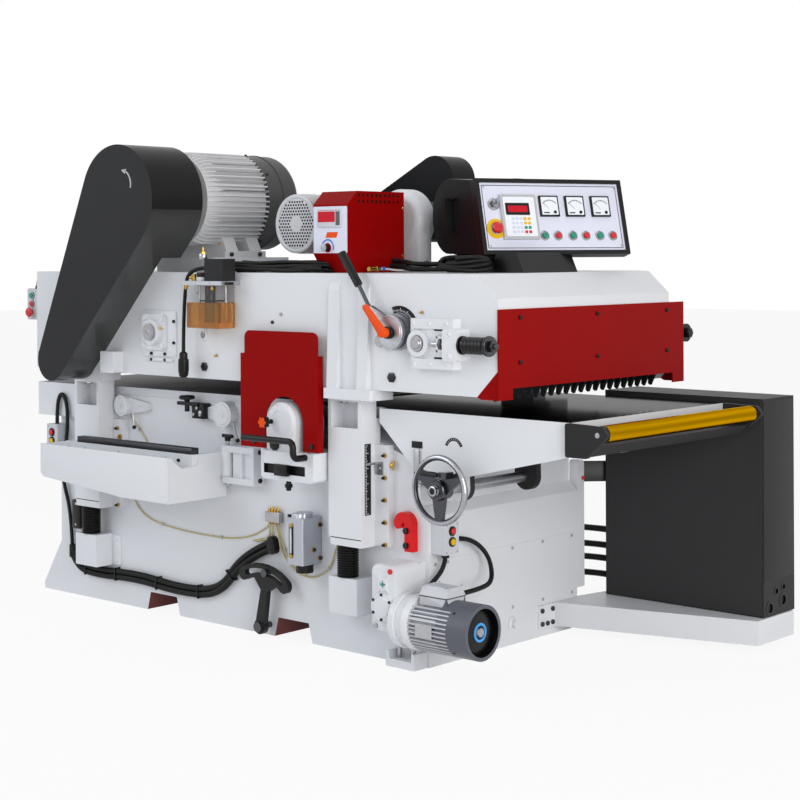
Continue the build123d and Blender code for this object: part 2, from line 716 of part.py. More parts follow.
def roller_crossbar():
    """Bar under the roller that ties the two cheeks."""
    points = [(ROLLER_X - 60, INFEED_Z - 98), (ROLLER_X - 40, INFEED_Z - 98), (ROLLER_X - 12, INFEED_Z - 66)]
    points += [(ROLLER_X - 60, INFEED_Z - 66)]
    return plate_xz(outline(points), (-TABLE_HALF, TABLE_HALF))


def infeed_roller():
    """Tube roller with its pin ends."""
    roller = bar_y(ROLLER_X, ROLLER_Z, ROLLER_RADIUS, (-ROLLER_HALF, ROLLER_HALF))
    pin_half = TABLE_HALF + BRACKET_PLATE
    return roller + bar_y(ROLLER_X, ROLLER_Z, ROLLER_PIN, (-pin_half, pin_half))


def handwheel():
    """Three-spoke wheel on the cross shaft that sets the infeed table."""
    place = Pos(WHEEL_X, WHEEL_Y, WHEEL_Z)
    wheel = place * Rot(90, 0, 0) * Torus(WHEEL_RADIUS - RIM_RADIUS, RIM_RADIUS)
    hub = bar_y(WHEEL_X, WHEEL_Z, 30.0, (WHEEL_Y - 14, WHEEL_Y + 34))
    nose = bar_y(WHEEL_X, WHEEL_Z, 19.0, (WHEEL_Y - 36, WHEEL_Y - 14))
    wheel += [hub, nose, bar_y(WHEEL_X, WHEEL_Z, SHAFT_RADIUS, (WHEEL_Y + 34, SHAFT_END))]
    reach = WHEEL_RADIUS - RIM_RADIUS
    for turn in (30.0, 150.0, 270.0):
        spoke = plate_xz(outline([(0, -SPOKE_ROOT), (reach, -SPOKE_TIP), (reach, SPOKE_TIP),
                                  (0, SPOKE_ROOT)]), SPOKE_Y)
        wheel += place * Rot(0, -turn, 0) * spoke
    return wheel + grip_clevis()


def grip_clevis():
    """Forked lug on a spoke with the pin that the grip folds on."""
    wall = GRIP_X + GRIP_EYE + GRIP_PLAY
    outer = (GRIP_Z - GRIP_FORK, GRIP_Z + GRIP_FORK)
    lug = block((wall, wall + 20), (GRIP_Y - GRIP_EYE, WHEEL_Y), outer)
    for span in ((outer[0], GRIP_Z - GRIP_CHEEK), (GRIP_Z + GRIP_CHEEK, outer[1])):
        lug += block((GRIP_X, wall), (GRIP_Y - GRIP_EYE, GRIP_Y + GRIP_EYE), span)
        lug += bar_z(GRIP_X, GRIP_Y, GRIP_EYE, span)
    return lug + bar_z(GRIP_X, GRIP_Y, GRIP_PIN, outer)


def wheel_grip():
    """Folding grip, lying across the wheel when folded in."""
    eye = bar_z(GRIP_X, GRIP_Y, GRIP_EYE, (GRIP_Z - GRIP_CHEEK + GRIP_PLAY, GRIP_Z + GRIP_CHEEK - GRIP_PLAY))
    stem = bar_x(GRIP_Y, GRIP_Z, GRIP_STEM, (GRIP_X - GRIP_START - 2, GRIP_X))
    eye = eye + stem - bar_z(GRIP_X, GRIP_Y, GRIP_PIN + BORE_GAP, (GRIP_Z - GRIP_FORK, GRIP_Z + GRIP_FORK))
    profile = outline([(0, 0), (GRIP_RADIUS - 2, 0), (GRIP_RADIUS, 14), (GRIP_RADIUS - 1, GRIP_LENGTH - 6),
                       (GRIP_RADIUS - 4, GRIP_LENGTH), (0, GRIP_LENGTH)])
    handle = revolve(Plane.XZ * profile, axis=Axis.Z)
    return Pos(GRIP_X - GRIP_START, GRIP_Y, GRIP_Z) * Rot(0, -90, 0) * handle + eye


# Cutterheads
def knife_block(x, z, half):
    """Cutter cylinder with knife slots, wedges and knives."""
    body = bar_y(x, z, CUT_RADIUS, (-half, half))
    slot = block((-15, 15), (-half, half), (CUT_RADIUS - 22, CUT_RADIUS + 5))
    wedge = block((-14, 3), (-half, half), (CUT_RADIUS - 22, CUT_RADIUS - 8))
    knife = block((3, 6.5), (-half, half), (CUT_RADIUS - 22, CUT_RADIUS + KNIFE_STICKOUT))
    for index in range(KNIFE_COUNT):
        turn = Pos(x, 0, z) * Rot(0, 360 / KNIFE_COUNT * index, 0)
        body = body - turn * slot + [turn * wedge, turn * knife]
    return body


def lower_cutterhead():
    """Lower knife block with its two journals."""
    front = -HOUSING_FRONT + 22
    rear = BASE_Y - FAR_WALL - BAY_GAP
    body = knife_block(CUT_X, CUT_Z, BODY_HALF)
    return body + bar_y(CUT_X, CUT_Z, JOURNAL_RADIUS, (front, rear))


def upper_cutterhead():
    """Upper knife block with journals and its belt pulley."""
    body = knife_block(UPPER_X, UPPER_Z, BODY_HALF)
    body += bar_y(UPPER_X, UPPER_Z, JOURNAL_RADIUS, (PULLEY_Y[0], HEAD_HALF + 20))
    return body + grooved_pulley(UPPER_X, UPPER_Z, CUTTER_PULLEY)


def grooved_pulley(x, z, radius):
    """Belt pulley with flanges at both edges."""
    rim = 6.0
    pulley = bar_y(x, z, radius, PULLEY_Y)
    for low in (PULLEY_Y[0], PULLEY_Y[1] - rim):
        pulley += bar_y(x, z, radius + BELT_THICK, (low, low + rim))
    return pulley


def motor_pulley():
    """Pulley on the main motor's shaft."""
    shaft = bar_y(MOTOR_X, MOTOR_Z, 24.0, (PULLEY_Y[0], MOTOR_SHIELD - 1))
    return grooved_pulley(MOTOR_X, MOTOR_Z, MOTOR_PULLEY) + shaft


# Lower cutterhead carriage
def lower_carriage():
    """Slide-out carriage with the front bearing housing, beam, rear bearing plate and handle."""
    floor = BAY_FLOOR + BORE_GAP
    body = block(CARRIAGE_X, (-CARRIAGE_FRONT, -BASE_Y - SLIDE_GAP), (floor + 2, CARRIAGE_TOP))
    body = fillet(body.edges().filter_by(Axis.Y).group_by(Axis.Z)[0], 16.0)
    nose = block((CUT_X - 72, CUT_X + 96), (-HOUSING_FRONT - 8, -CARRIAGE_FRONT),
                 (CARRIAGE_TOP - 42, CARRIAGE_TOP))
    body += nose
    body -= carriage_slot()
    beam_x = (CUT_X - BEAM_HALF, CUT_X + BEAM_HALF)
    rear = BODY_HALF + BAY_GAP
    last = BASE_Y - FAR_WALL - BAY_GAP
    body += block(beam_x, (-BASE_Y - SLIDE_GAP, last), (floor, floor + BEAM_HEIGHT))
    arch = hull_of((CUT_X, CUT_Z, HOUSING_RADIUS), (CUT_X - 4, CARRIAGE_TOP + 4, HOUSING_RADIUS - 4))
    keep = block((0, 2 * CUT_X), (-HOUSING_FRONT, -BASE_Y - SLIDE_GAP), (CARRIAGE_TOP - 10, TABLE_Z + 20))
    front = plate_xz(arch, (-HOUSING_FRONT, -BASE_Y - 16)) & keep
    cover = front.edges().group_by(Axis.Y)[0]
    body += chamfer(cover, 6.0)
    back = hull_of((CUT_X, CUT_Z, BEAM_HALF), (CUT_X, floor + BEAM_HEIGHT, BEAM_HALF - 2))
    body += plate_xz(back, (rear, last))
    body -= bar_y(CUT_X, CUT_Z, JOURNAL_RADIUS + BORE_GAP, (-HOUSING_FRONT + 20, last))
    for x in (GUARD_X[0] + 76, GUARD_X[1] - 40):
        body += block((x, x + 24), (-GUARD_FACE + GUARD_SHEET, -GUARD_FACE + 34),
                      (CARRIAGE_TOP - 12, CARRIAGE_TOP + 44))
    body += block((GUARD_X[0] + 76, CARRIAGE_X[0] + 20), (-GUARD_FACE + GUARD_SHEET, -GUARD_FACE + 34),
                  (CARRIAGE_TOP - 12, CARRIAGE_TOP))
    return body + carriage_handle()


def carriage_slot():
    """Dark stepped slot across the carriage front."""
    z = (CARRIAGE_TOP - 78, CARRIAGE_TOP - 46)
    return block((CARRIAGE_X[0] + 14, CARRIAGE_X[1] - 40), (-CARRIAGE_FRONT, -CARRIAGE_FRONT + 10), z)


def carriage_handle():
    """Pull bar in front of the housing, bent back to the carriage at its right end."""
    foot_z = CARRIAGE_TOP - HANDLE_FOOT
    corners = [
        (HANDLE_X[0], HANDLE_Y, HANDLE_Z),
        (HANDLE_X[1], HANDLE_Y, HANDLE_Z),
        (HANDLE_X[1], HANDLE_Y, foot_z),
        (HANDLE_X[1], -CARRIAGE_FRONT, foot_z),
    ]
    return tube(corners, HANDLE_RADIUS, [HANDLE_BEND, HANDLE_BEND])


def lower_guard():
    """Red sheet guard in front of the lower cutterhead, arched over the housing."""
    low = CARRIAGE_TOP + 3
    y = (-GUARD_FACE, -GUARD_FACE + GUARD_SHEET)
    sheet = block(GUARD_X, y, (low, GUARD_TOP))
    sheet = fillet(sheet.edges().filter_by(Axis.Y).group_by(Axis.Z)[-1], 26.0)
    sheet += block((GUARD_X[0] - GUARD_TAB, GUARD_X[0]), y, (low, GUARD_TAB_TOP))
    arch = disc_at(CUT_X, CUT_Z, ARCH_HALF)
    arch += Pos(CUT_X, (CUT_Z + low) / 2 - 1) * Rectangle(2 * ARCH_HALF, CUT_Z - low + 2)
    sheet -= plate_xz(arch, y)
    flange_x = (GUARD_X[1] - GUARD_SHEET, GUARD_X[1])
    sheet += block(flange_x, (-GUARD_FACE + GUARD_SHEET, -HEAD_HALF - 8), (low, GUARD_TAB_TOP))
    side_x = (GUARD_X[0] - GUARD_TAB, GUARD_X[0] - GUARD_TAB + GUARD_SHEET)
    return sheet + block(side_x, (-GUARD_FACE + GUARD_SHEET, -HEAD_HALF - 8), (low, GUARD_TAB_TOP))


def carriage_knob():
    """Lobed clamp knob on the housing cover, with its neck and hub."""
    lobes = disc_at(KNOB_X, KNOB_Z, KNOB_RADIUS - 5)
    for index in range(6):
        turn = 2 * pi * index / 6
        lobes += disc_at(KNOB_X + (KNOB_RADIUS - 6) * cos(turn), KNOB_Z + (KNOB_RADIUS - 6) * sin(turn), 6.0)
    front = -HOUSING_FRONT
    knob = plate_xz(lobes, (front - 46, front - 24))
    return knob + bar_y(KNOB_X, KNOB_Z, 8.0, (front - 24, front - 0.5))


# Swing arm
def swing_arm():
    """Box arm with a steel rail that takes the pulled-out cutterhead, and its hinge link."""
    x_mid = ARM_X[0] + 0.66 * (ARM_X[1] - ARM_X[0])
    points = [(ARM_X[0], ARM_LOW[1]), (ARM_X[0] + 20, ARM_LOW[1] - 14), (x_mid, ARM_LOW[0]),
              (ARM_X[1], ARM_LOW[0])]
    points += [(ARM_X[1], ARM_TOP), (ARM_X[0], ARM_TOP)]
    arm = plate_xz(outline(points), ARM_Y)
    trough = (ARM_LOW[1] + ARM_FLOOR, ARM_TOP)
    arm -= block((ARM_X[0] + ARM_WALL, ARM_X[1] - ARM_END), (ARM_Y[0] + ARM_WALL, ARM_Y[1] - RAIL_WIDTH),
                 trough)
    arm += block((ARM_X[1] - ARM_END, ARM_X[1]), (ARM_Y[1], ARM_PIVOT[1] + ARM_NECK / 2),
                 (ARM_LOW[0], ARM_TOP))
    return group(arm + arm_knuckle(), arm_rail())


def arm_knuckle():
    """Neck from the arm's end plate to the eye that turns on the bracket's pin."""
    x, y = ARM_PIVOT
    span = (LINK_Z[0] + HINGE_PLAY, LINK_Z[1] - HINGE_PLAY)
    neck = block((ARM_X[1], x), (y - ARM_NECK / 2, y + ARM_NECK / 2), span)
    eye = bar_z(x, y, HINGE_RADIUS - 1, span)
    return neck + eye - bar_z(x, y, HINGE_PIN + BORE_GAP, span)


def arm_rail():
    """Steel rail on the back edge of the arm, with a clamp pad at its end."""
    y = (ARM_Y[1] - RAIL_WIDTH, ARM_Y[1])
    return block((ARM_X[0] + 70, ARM_X[1] - 40), y, (ARM_TOP, ARM_TOP + RAIL_HEIGHT))


# Lift gear motor, oiler, quadrant, hook


def lift_gear_motor():
    """Gearbox on the base face with a flange motor along X."""
    box = block(GEARBOX_X, GEARBOX_Y, GEARBOX_Z)
    box = fillet(box.edges().filter_by(Axis.Y), 26.0)
    foot = block((GEARBOX_X[0] - 22, GEARBOX_X[1] - 4), (GEARBOX_Y[1], -BASE_Y),
                 (GEARBOX_Z[0] - 6, GEARBOX_Z[1] - 8))
    boss = bar_y(sum(GEARBOX_X) / 2, GEAR_Z + 40, 46.0, (GEARBOX_Y[0] - 10, GEARBOX_Y[0]))
    start = GEARBOX_X[1]
    flange = bar_x(GEAR_Y, GEAR_Z, GEAR_FLANGE, (start, start + 22))
    neck = bar_x(GEAR_Y, GEAR_Z, GEAR_MOTOR - 8, (start + 22, start + 40))
    stator = (start + 40, start + 196)
    motor = bar_x(GEAR_Y, GEAR_Z, GEAR_MOTOR, stator)
    for index in range(GEAR_FINS):
        fin = block(stator, (-2, 2), (GEAR_MOTOR - 4, GEAR_FIN))
        motor += Pos(0, GEAR_Y, GEAR_Z) * Rot(360 / GEAR_FINS * index, 0, 0) * fin
    cowl_x = (stator[1], stator[1] + 124)
    cowl = bar_x(GEAR_Y, GEAR_Z, GEAR_COWL, cowl_x)
    cowl -= bar_x(GEAR_Y, GEAR_Z, GEAR_COWL - 12, (cowl_x[1] - 34, cowl_x[1]))
    fan = bar_x(GEAR_Y, GEAR_Z, 30.0, (cowl_x[1] - 34, cowl_x[1] - 22))
    return box + [foot, boss, flange, neck, motor, cowl, fan, terminal_box(stator)]


def terminal_box(stator):
    """Sloped terminal box on top of the gear motor."""
    top = GEAR_Z + GEAR_FIN
    points = [(-46, -14), (46, -14), (46, 18), (28, 44), (-28, 44), (-46, 18)]
    shape = outline([(GEAR_Y + y, top + z) for y, z in points])
    return plate_yz(shape, (stator[0] + 60, stator[1] + 14))


def hand_oiler():
    """Hand oil pump with filler cap, sight window, cup, and the lever's lug."""
    body = block(OILER_X, (OILER_Y, -BASE_Y), OILER_Z)
    body = fillet(body.edges().filter_by(Axis.Z), 6.0)
    middle = (sum(OILER_X) / 2, (OILER_Y - BASE_Y) / 2)
    cap = bar_z(*middle, 28.0, (OILER_Z[1], OILER_Z[1] + 16))
    cup = bar_z(*middle, 30.0, (OILER_Z[0] - 30, OILER_Z[0]))
    window = block((OILER_X[0] + 12, OILER_X[0] + 28), (OILER_Y - 3, OILER_Y),
                   (OILER_Z[0] + 34, OILER_Z[1] - 30))
    lug = block((OILER_X[0] - 22, OILER_X[0]), (PUMP_PIVOT[1] + 7, PUMP_PIVOT[1] + 19),
                (PUMP_PIVOT[2] - 11, PUMP_PIVOT[2] + 11))
    pin = bar_y(PUMP_PIVOT[0], PUMP_PIVOT[2], 4.0, (PUMP_PIVOT[1] - 8, PUMP_PIVOT[1] + 7))
    return body + [cap, cup, window, lug, pin]


def pump_lever():
    """Lever of the hand oil pump: eye, rod and grip."""
    x, y, z = PUMP_PIVOT
    eye = bar_y(x, z, 9.0, (y - 6, y + 6))
    arm = rod((x, y, z), (0, 0, 1), 4.0, 122.0)
    grip = Pos(x, y, z + 112) * Cone(6.0, 8.5, 42.0, align=(Align.CENTER, Align.CENTER, Align.MIN))
    return eye + [arm, grip] - bar_y(x, z, 4.0 + BORE_GAP, (y - 6, y + 6))


def quadrant_arc(half_width, trim):
    """Curved band about the quadrant pivot, with round ends."""
    low, high = QUAD_ARC[0] + trim, QUAD_ARC[1] - trim
    line = CenterArc(QUAD_PIVOT, QUAD_RADIUS, low, high - low)
    band = trace(line, line_width=2 * half_width)
    for turn in (low, high):
        end = (QUAD_PIVOT[0] + QUAD_RADIUS * cos(radians(turn)),
               QUAD_PIVOT[1] + QUAD_RADIUS * sin(radians(turn)))
        band += Pos(*end) * Circle(half_width)
    return band


def tension_quadrant():
    """Slotted quadrant lever that tightens the lower belt."""
    head = plate_xz(quadrant_arc(QUAD_BAND, 0), QUAD_Y)
    boss = disc_at(*QUAD_PIVOT, 27.0)
    throat = QUAD_RADIUS - QUAD_BAND - 34
    arm = plate_xz(hull_of((*QUAD_PIVOT, 22.0), quad_point(throat, QUAD_BOLT_ANGLE, 16.0)), QUAD_Y)
    crown = hull_of(quad_point(throat, QUAD_BOLT_ANGLE, 16.0),
                    quad_point(QUAD_RADIUS, QUAD_BOLT_ANGLE + 16, QUAD_BAND - 4),
                    quad_point(QUAD_RADIUS, QUAD_BOLT_ANGLE - 16, QUAD_BAND - 4))
    lever = head + [plate_xz(boss, QUAD_Y), arm, plate_xz(crown, QUAD_Y)]
    lever -= plate_xz(quadrant_arc(QUAD_SLOT, 5), QUAD_Y)
    return lever - bar_y(*QUAD_PIVOT, 11.0 + BORE_GAP, QUAD_Y)


def quad_point(radius, angle, disc):
    """Disc at a radius and an angle from the quadrant's pivot."""
    turn = radians(angle)
    return (QUAD_PIVOT[0] + radius * cos(turn), QUAD_PIVOT[1] + radius * sin(turn), disc)


def quadrant_bolts():
    """Pivot bolt and lock bolt of the quadrant, on the base face."""
    x, z, _ = quad_point(QUAD_RADIUS, QUAD_BOLT_ANGLE, 0)
    bolts = []
    for px, pz, radius, head in ((*QUAD_PIVOT, 11.0, 18.0), (x, z, QUAD_SLOT - 1.5, 14.0)):
        pin = bar_y(px, pz, radius, (QUAD_Y[0] - SLIDE_GAP, -BASE_Y))
        bolts.append(pin + bar_y(px, pz, head, (QUAD_Y[0] - 12, QUAD_Y[0] - SLIDE_GAP)))
    return group(*bolts)


def tool_hook():
    """Bent bar hook on the base face."""
    radius = (HOOK_X[1] - HOOK_X[0] - HOOK_BAR) / 2
    centre = (HOOK_X[0] + HOOK_BAR / 2 + radius, HOOK_Z[1] - HOOK_BAR / 2 - radius)
    line = CenterArc(centre, radius, 0, 180)
    hook = plate_xz(trace(line, line_width=HOOK_BAR), (HOOK_Y, -BASE_Y))
    post = block((HOOK_X[1] - HOOK_BAR, HOOK_X[1]), (HOOK_Y, -BASE_Y), (HOOK_Z[0], centre[1]))
    tip = plate_xz(disc_at(HOOK_X[0] + HOOK_BAR / 2, centre[1], HOOK_BAR / 2), (HOOK_Y, -BASE_Y))
    return hook + [post, tip]


# Cabinet
def cabinet_shelf():
    """Skewed shelf from the infeed end of the base to the cabinet."""
    plan = [(BASE_X, 262), (CABINET_X[1] + 8, CABINET_Y[0] - 45), (CABINET_X[1] + 8, CABINET_Y[1] - 20)]
    plan += [(CABINET_X[0], CABINET_Y[1] - 20), (BASE_X, BASE_Y)]
    shelf = plate_xy(outline(plan), (SHELF_LOW, CABINET_Z[0]))
    flange = block((BASE_X, BASE_X + 10), (170, 262), (SHELF_LOW + 4, CABINET_Z[0]))
    return shelf + flange


def electrical_cabinet():
    """Cabinet with a front panel set in a reveal and cable inlets at the infeed end."""
    box = block(CABINET_X, (CABINET_Y[0] + 6, CABINET_Y[1]), CABINET_Z)
    reveal = 10.0
    panel_x = (CABINET_X[0] + reveal / 2, CABINET_X[1] - reveal / 2)
    box += block(panel_x, (CABINET_Y[0], CABINET_Y[0] + 6),
                 (CABINET_Z[0] + reveal / 2, CABINET_Z[1] - reveal / 2))
    for y, z, radius in INLETS:
        box -= bar_x(y, z, radius, (CABINET_X[1] - INLET_DEPTH, CABINET_X[1]))
    return box


# Cables and tubes held along the base


def base_lines():
    """Conduit and oil tube on the operator's side, station leads, and conduits to the cabinet."""
    conduit = route([(x, CONDUIT_Y, z) for x, z in CONDUIT_XZ], CONDUIT_RADIUS)
    gland = bar_y(CONDUIT_XZ[-1][0], CONDUIT_XZ[-1][1], 17.0, (CONDUIT_Y - CONDUIT_RADIUS - 3, -BASE_Y))
    oil = route([(x, OIL_Y, z) for x, z in OIL_XZ], OIL_RADIUS)
    left = route([(x, LEFT_LEAD_Y if z > 500 else CONDUIT_Y, z) for x, z in LEFT_LEAD], STATION_LEAD)
    plug = bar_z(LEFT_LEAD[-1][0], CONDUIT_Y, CONDUIT_RADIUS, (150.0, 200.0))
    right = route(RIGHT_LEAD, STATION_LEAD)
    loop = route(RIGHT_LOOP, STATION_LEAD)
    return group(conduit + gland + left + plug, oil, *link_conduits(), right, loop, flat_duct(),
                 oil_manifold())


def flat_duct():
    """Flat cable duct from the ear of the far pillar to the cabinet."""
    y = BASE_Y + PILLAR_DEPTH
    side = [(BASE_X - 34, y), (BASE_X - 12, y), (CABINET_X[0], DUCT_Y), (CABINET_X[0], DUCT_Y + 14)]
    return plate_xy(outline(side), DUCT_Z)


def link_conduits():
    """Conduits from the far side of the base to the cabinet."""
    start = BASE_Y + PILLAR_DEPTH
    conduits = []
    for z in LINK_CABLES_Z:
        points = [(900.0, start, z), (900.0, start + 45, z), (960.0, LINK_Y, z - 8),
                  (CABINET_X[0], LINK_Y, z - 8)]
        conduits.append(route(points, LINK_CABLE_RADIUS))
    return conduits


def oil_manifold():
    """Oil distributor block with its unions."""
    block_y = (-BASE_Y - MANIFOLD_DEPTH, -BASE_Y)
    body = block(MANIFOLD_X, block_y, MANIFOLD_Z)
    for index in range(4):
        x = MANIFOLD_X[0] + 14 + 15 * index
        body += bar_z(x, -BASE_Y - MANIFOLD_DEPTH / 2 - 1, 5.0, (MANIFOLD_Z[1], MANIFOLD_Z[1] + 14))
    return body


# Head
def head_side(setback):
    """Side wall outline of the head, its hood corner cut back by a setback."""
    chamfer_x = HEAD_IN - (HOOD_CHAMFER - HEAD_LOW)
    low = RED_TOP - 20
    corner = [(HEAD_IN, low), (HEAD_IN - setback, low)] if setback else []
    return outline([(HEAD_OUT, HEAD_LOW), (chamfer_x, HEAD_LOW), (HEAD_IN, HOOD_CHAMFER), *corner,
                    (HEAD_IN - setback, HOOD_EDGE), (HOOD_CREST - setback, HEAD_HIGH), (HEAD_OUT, HEAD_HIGH)])


def head_frame():
    """Side walls, top, sloped hood, outfeed end wall, cross ties, bearings and motor saddle."""
    inner = (-HEAD_HALF + HEAD_WALL, HEAD_HALF - HEAD_WALL)
    frame = plate_xz(head_side(0.0), (-HEAD_HALF, inner[0]))
    frame += plate_xz(head_side(HOOD_SETBACK), (inner[1], HEAD_HALF))
    hood = (inner[0], HOOD_FAR)
    frame += block((HEAD_OUT, HOOD_CREST), hood, (HEAD_HIGH - HEAD_SHEET, HEAD_HIGH))
    frame += block((HEAD_OUT, HOOD_CREST - HOOD_SETBACK), (HOOD_FAR, inner[1]),
                   (HEAD_HIGH - HEAD_SHEET, HEAD_HIGH))
    slope = [(HOOD_CREST, HEAD_HIGH), (HEAD_IN, HOOD_EDGE), (HEAD_IN, RED_TOP - 60),
             (HEAD_IN - HEAD_SHEET, RED_TOP - 60)]
    slope += [(HEAD_IN - HEAD_SHEET, HOOD_EDGE - 8), (HOOD_CREST - 6, HEAD_HIGH - HEAD_SHEET)]
    frame += plate_xz(outline(slope), hood)
    frame += block((HEAD_IN - HEAD_SHEET, HEAD_IN), (HOOD_FAR, inner[1]), (RED_TOP - 60, RED_TOP - 20))
    frame += block((HEAD_OUT, HEAD_OUT + HEAD_SHEET), inner, (HEAD_LOW + 42, HEAD_HIGH - HEAD_SHEET))
    for x in TIE_X:
        frame += block((x, x + 46), inner, (TRACK_LOW + 22, TRACK_LOW + 112))
    saddle = block((MOTOR_X - 185, MOTOR_X + 165), (-330, 60), (HEAD_HIGH, HEAD_HIGH + SADDLE_HEIGHT))
    saddle = fillet(saddle.edges().filter_by(Axis.Z), 20.0)
    reach = (-HEAD_HALF - 60, HEAD_HALF + 60)
    shafts = [bar_y(UPPER_X, UPPER_Z, JOURNAL_RADIUS + BORE_GAP, reach)]
    shafts.append(bar_y(TRACK_DRIVE_X, TRACK_Z, TRACK_SHAFT + BORE_GAP, reach))
    fittings = [part - shafts for part in (*both_sides(track_bearing()), cutter_bearing())]
    frame -= shafts
    slot = hull_of((TRACK_IDLER_X, TRACK_Z, TRACK_SHAFT + 3), (TRACK_IDLER_X + 30, TRACK_Z, TRACK_SHAFT + 3))
    frame -= plate_xz(slot, (-HEAD_HALF, HEAD_HALF))
    frame -= bar_y(FINGER_X, FINGER_Z, FINGER_BAR + BORE_GAP, (-HEAD_HALF + 10, HEAD_HALF - 10))
    return group(frame, saddle, *fittings, dial_plate(), lead_box())


def lead_box():
    """Junction box on the operator's wall beside the lower end of the belt guard."""
    box = block(LEAD_BOX_X, (-HEAD_HALF - LEAD_BOX_DEPTH, -HEAD_HALF), LEAD_BOX_Z)
    return fillet(box.edges().filter_by(Axis.Y), 6.0)


def track_bearing():
    """Square flange bearing of the track drive shaft."""
    square = Pos(TRACK_DRIVE_X, TRACK_Z) * Rectangle(2 * FLANGE_SIZE, 2 * FLANGE_SIZE)
    flange = plate_xz(fillet(square.vertices(), 18.0), (-HEAD_HALF - 16, -HEAD_HALF))
    return flange + plate_xz(disc_at(TRACK_DRIVE_X, TRACK_Z, 46.0), (-HEAD_HALF - 34, -HEAD_HALF))


def cutter_bearing():
    """Bearing block of the upper cutterhead beside the belt guard."""
    return block((UPPER_X - 50, UPPER_X + 50), (-HEAD_HALF - 26, -HEAD_HALF), (HEAD_LOW + 2, UPPER_Z + 50))


def dial_plate():
    """Dial of the track pressure setting, with the adjuster boss beside it."""
    span = (-HEAD_HALF - DIAL_HEIGHT, -HEAD_HALF)
    dial = plate_xz(disc_at(DIAL_X, DIAL_Z, DIAL_RADIUS), span)
    arm = hull_of((DIAL_X, DIAL_Z - 6, 40.0), (DIAL_X - 68, DIAL_Z - 30, 24.0))
    dial += plate_xz(arm, (-HEAD_HALF - 18, -HEAD_HALF))
    return dial + plate_xz(disc_at(DIAL_X - 68, DIAL_Z - 30, 19.0), span)


def head_columns():
    """Hollow columns with feet, and the leg brackets that join them to the head."""
    x = (COLUMN_X - COLUMN_WIDTH / 2, COLUMN_X + COLUMN_WIDTH / 2)
    y = (-COLUMN_FRONT, -COLUMN_BACK)
    column = block(x, y, (COLUMN_LOW, COLUMN_TOP))
    hollow_x = (x[0] + COLUMN_WALL, x[1] - COLUMN_WALL)
    hollow_y = (y[0] + COLUMN_WALL, y[1] - COLUMN_WALL)
    column -= block(hollow_x, hollow_y, (COLUMN_LOW, COLUMN_TOP))
    column -= block((x[0] + 14, x[1] - 14), (y[0], y[0] + COLUMN_WALL), (COLUMN_TOP - 98, COLUMN_TOP - 10))
    foot = block((x[0] + 8, x[1]), y, (COLUMN_LOW - COLUMN_FOOT, COLUMN_LOW))
    foot -= bar_z(SCREW_X, -SCREW_Y, SCREW_RADIUS + BORE_GAP, (COLUMN_LOW - COLUMN_FOOT, COLUMN_LOW))
    leg = block(LEG_X, (-LEG_FRONT, -COLUMN_BACK), (COLUMN_TOP, HEAD_LOW))
    leg = fillet(leg.edges().filter_by(Axis.Z), 8.0)
    leg += block((x[0], LEG_X[0] + 20), y, (COLUMN_TOP, HEAD_LOW))
    plain = block((x[0], LEG_X[1] - 40), (-HEAD_HALF + 3, -COLUMN_BACK), (COLUMN_TOP, HEAD_LOW))
    rib = outline([(-HEAD_HALF, HEAD_LOW), (-LEG_FRONT + 4, HEAD_LOW), (-HEAD_HALF - 8, LEG_RIB_TOP - 20),
                   (-HEAD_HALF, LEG_RIB_TOP)])
    ribs = [plate_yz(rib, span) for span in LEG_RIBS]
    infeed = both_sides(column + [foot, leg, *ribs])
    outfeed = both_sides(Pos(-2 * COLUMN_X, 0, 0) * (column + [foot, plain]))
    return group(*infeed, *outfeed)


def hood_front():
    """Red front cover of the infeed end, with cheeks over the chamfer and corner tabs."""
    front = (HEAD_IN, HEAD_IN + RED_SHEET)
    half = HEAD_HALF + RED_SHEET
    sheet = block(front, (-half, half), (RED_LOW, RED_TOP))
    cheek_x = HEAD_IN - (HOOD_CHAMFER - HEAD_LOW)
    cheek = outline([(HEAD_IN, HOOD_CHAMFER), (cheek_x, HEAD_LOW), (cheek_x + 14, RED_TAB_LOW),
                     (HEAD_IN, RED_TAB_LOW)])
    tab = block(front, (-half, -half + RED_TAB), (RED_TAB_LOW, RED_LOW))
    edge = block((HEAD_IN, HEAD_IN + RED_SHEET), (-half, -HEAD_HALF), (RED_TAB_LOW, RED_TOP))
    side = plate_xz(cheek, (-HEAD_HALF, -HEAD_HALF + RED_SHEET))
    return sheet + [piece for part in (side, tab, edge) for piece in both_sides(part)]


# Feed track
def feed_track():
    """Loop of rubber-faced track pads round the two drums."""
    middle = PAD_OUTER - PAD_THICK / 2
    span = TRACK_IDLER_X - TRACK_DRIVE_X
    total = 2 * span + 2 * pi * middle
    count = int(total // PAD_PITCH)
    pads = []
    for index in range(count):
        x, z, turn = track_point(total * index / count, span, middle)
        pad = block((-(PAD_PITCH - PAD_GAP) / 2, (PAD_PITCH - PAD_GAP) / 2), (-PAD_HALF, PAD_HALF),
                    (-PAD_THICK / 2, PAD_THICK / 2))
        pads.append(Pos(x, 0, z) * Rot(0, -turn, 0) * pad)
    return group(*pads)


def track_point(along, span, radius):
    """Place and slope of a pad at a distance along the loop, from the drive end's underside."""
    arc = pi * radius
    if along < span:
        return TRACK_DRIVE_X + along, TRACK_Z - radius, 0.0
    if along < span + arc:
        turn = (along - span) / radius
        return TRACK_IDLER_X + radius * sin(turn), TRACK_Z - radius * cos(turn), turn * 180 / pi
    if along < 2 * span + arc:
        return TRACK_IDLER_X - (along - span - arc), TRACK_Z + radius, 180.0
    turn = (along - 2 * span - arc) / radius
    return TRACK_DRIVE_X - radius * sin(turn), TRACK_Z + radius * cos(turn), 180 + turn * 180 / pi


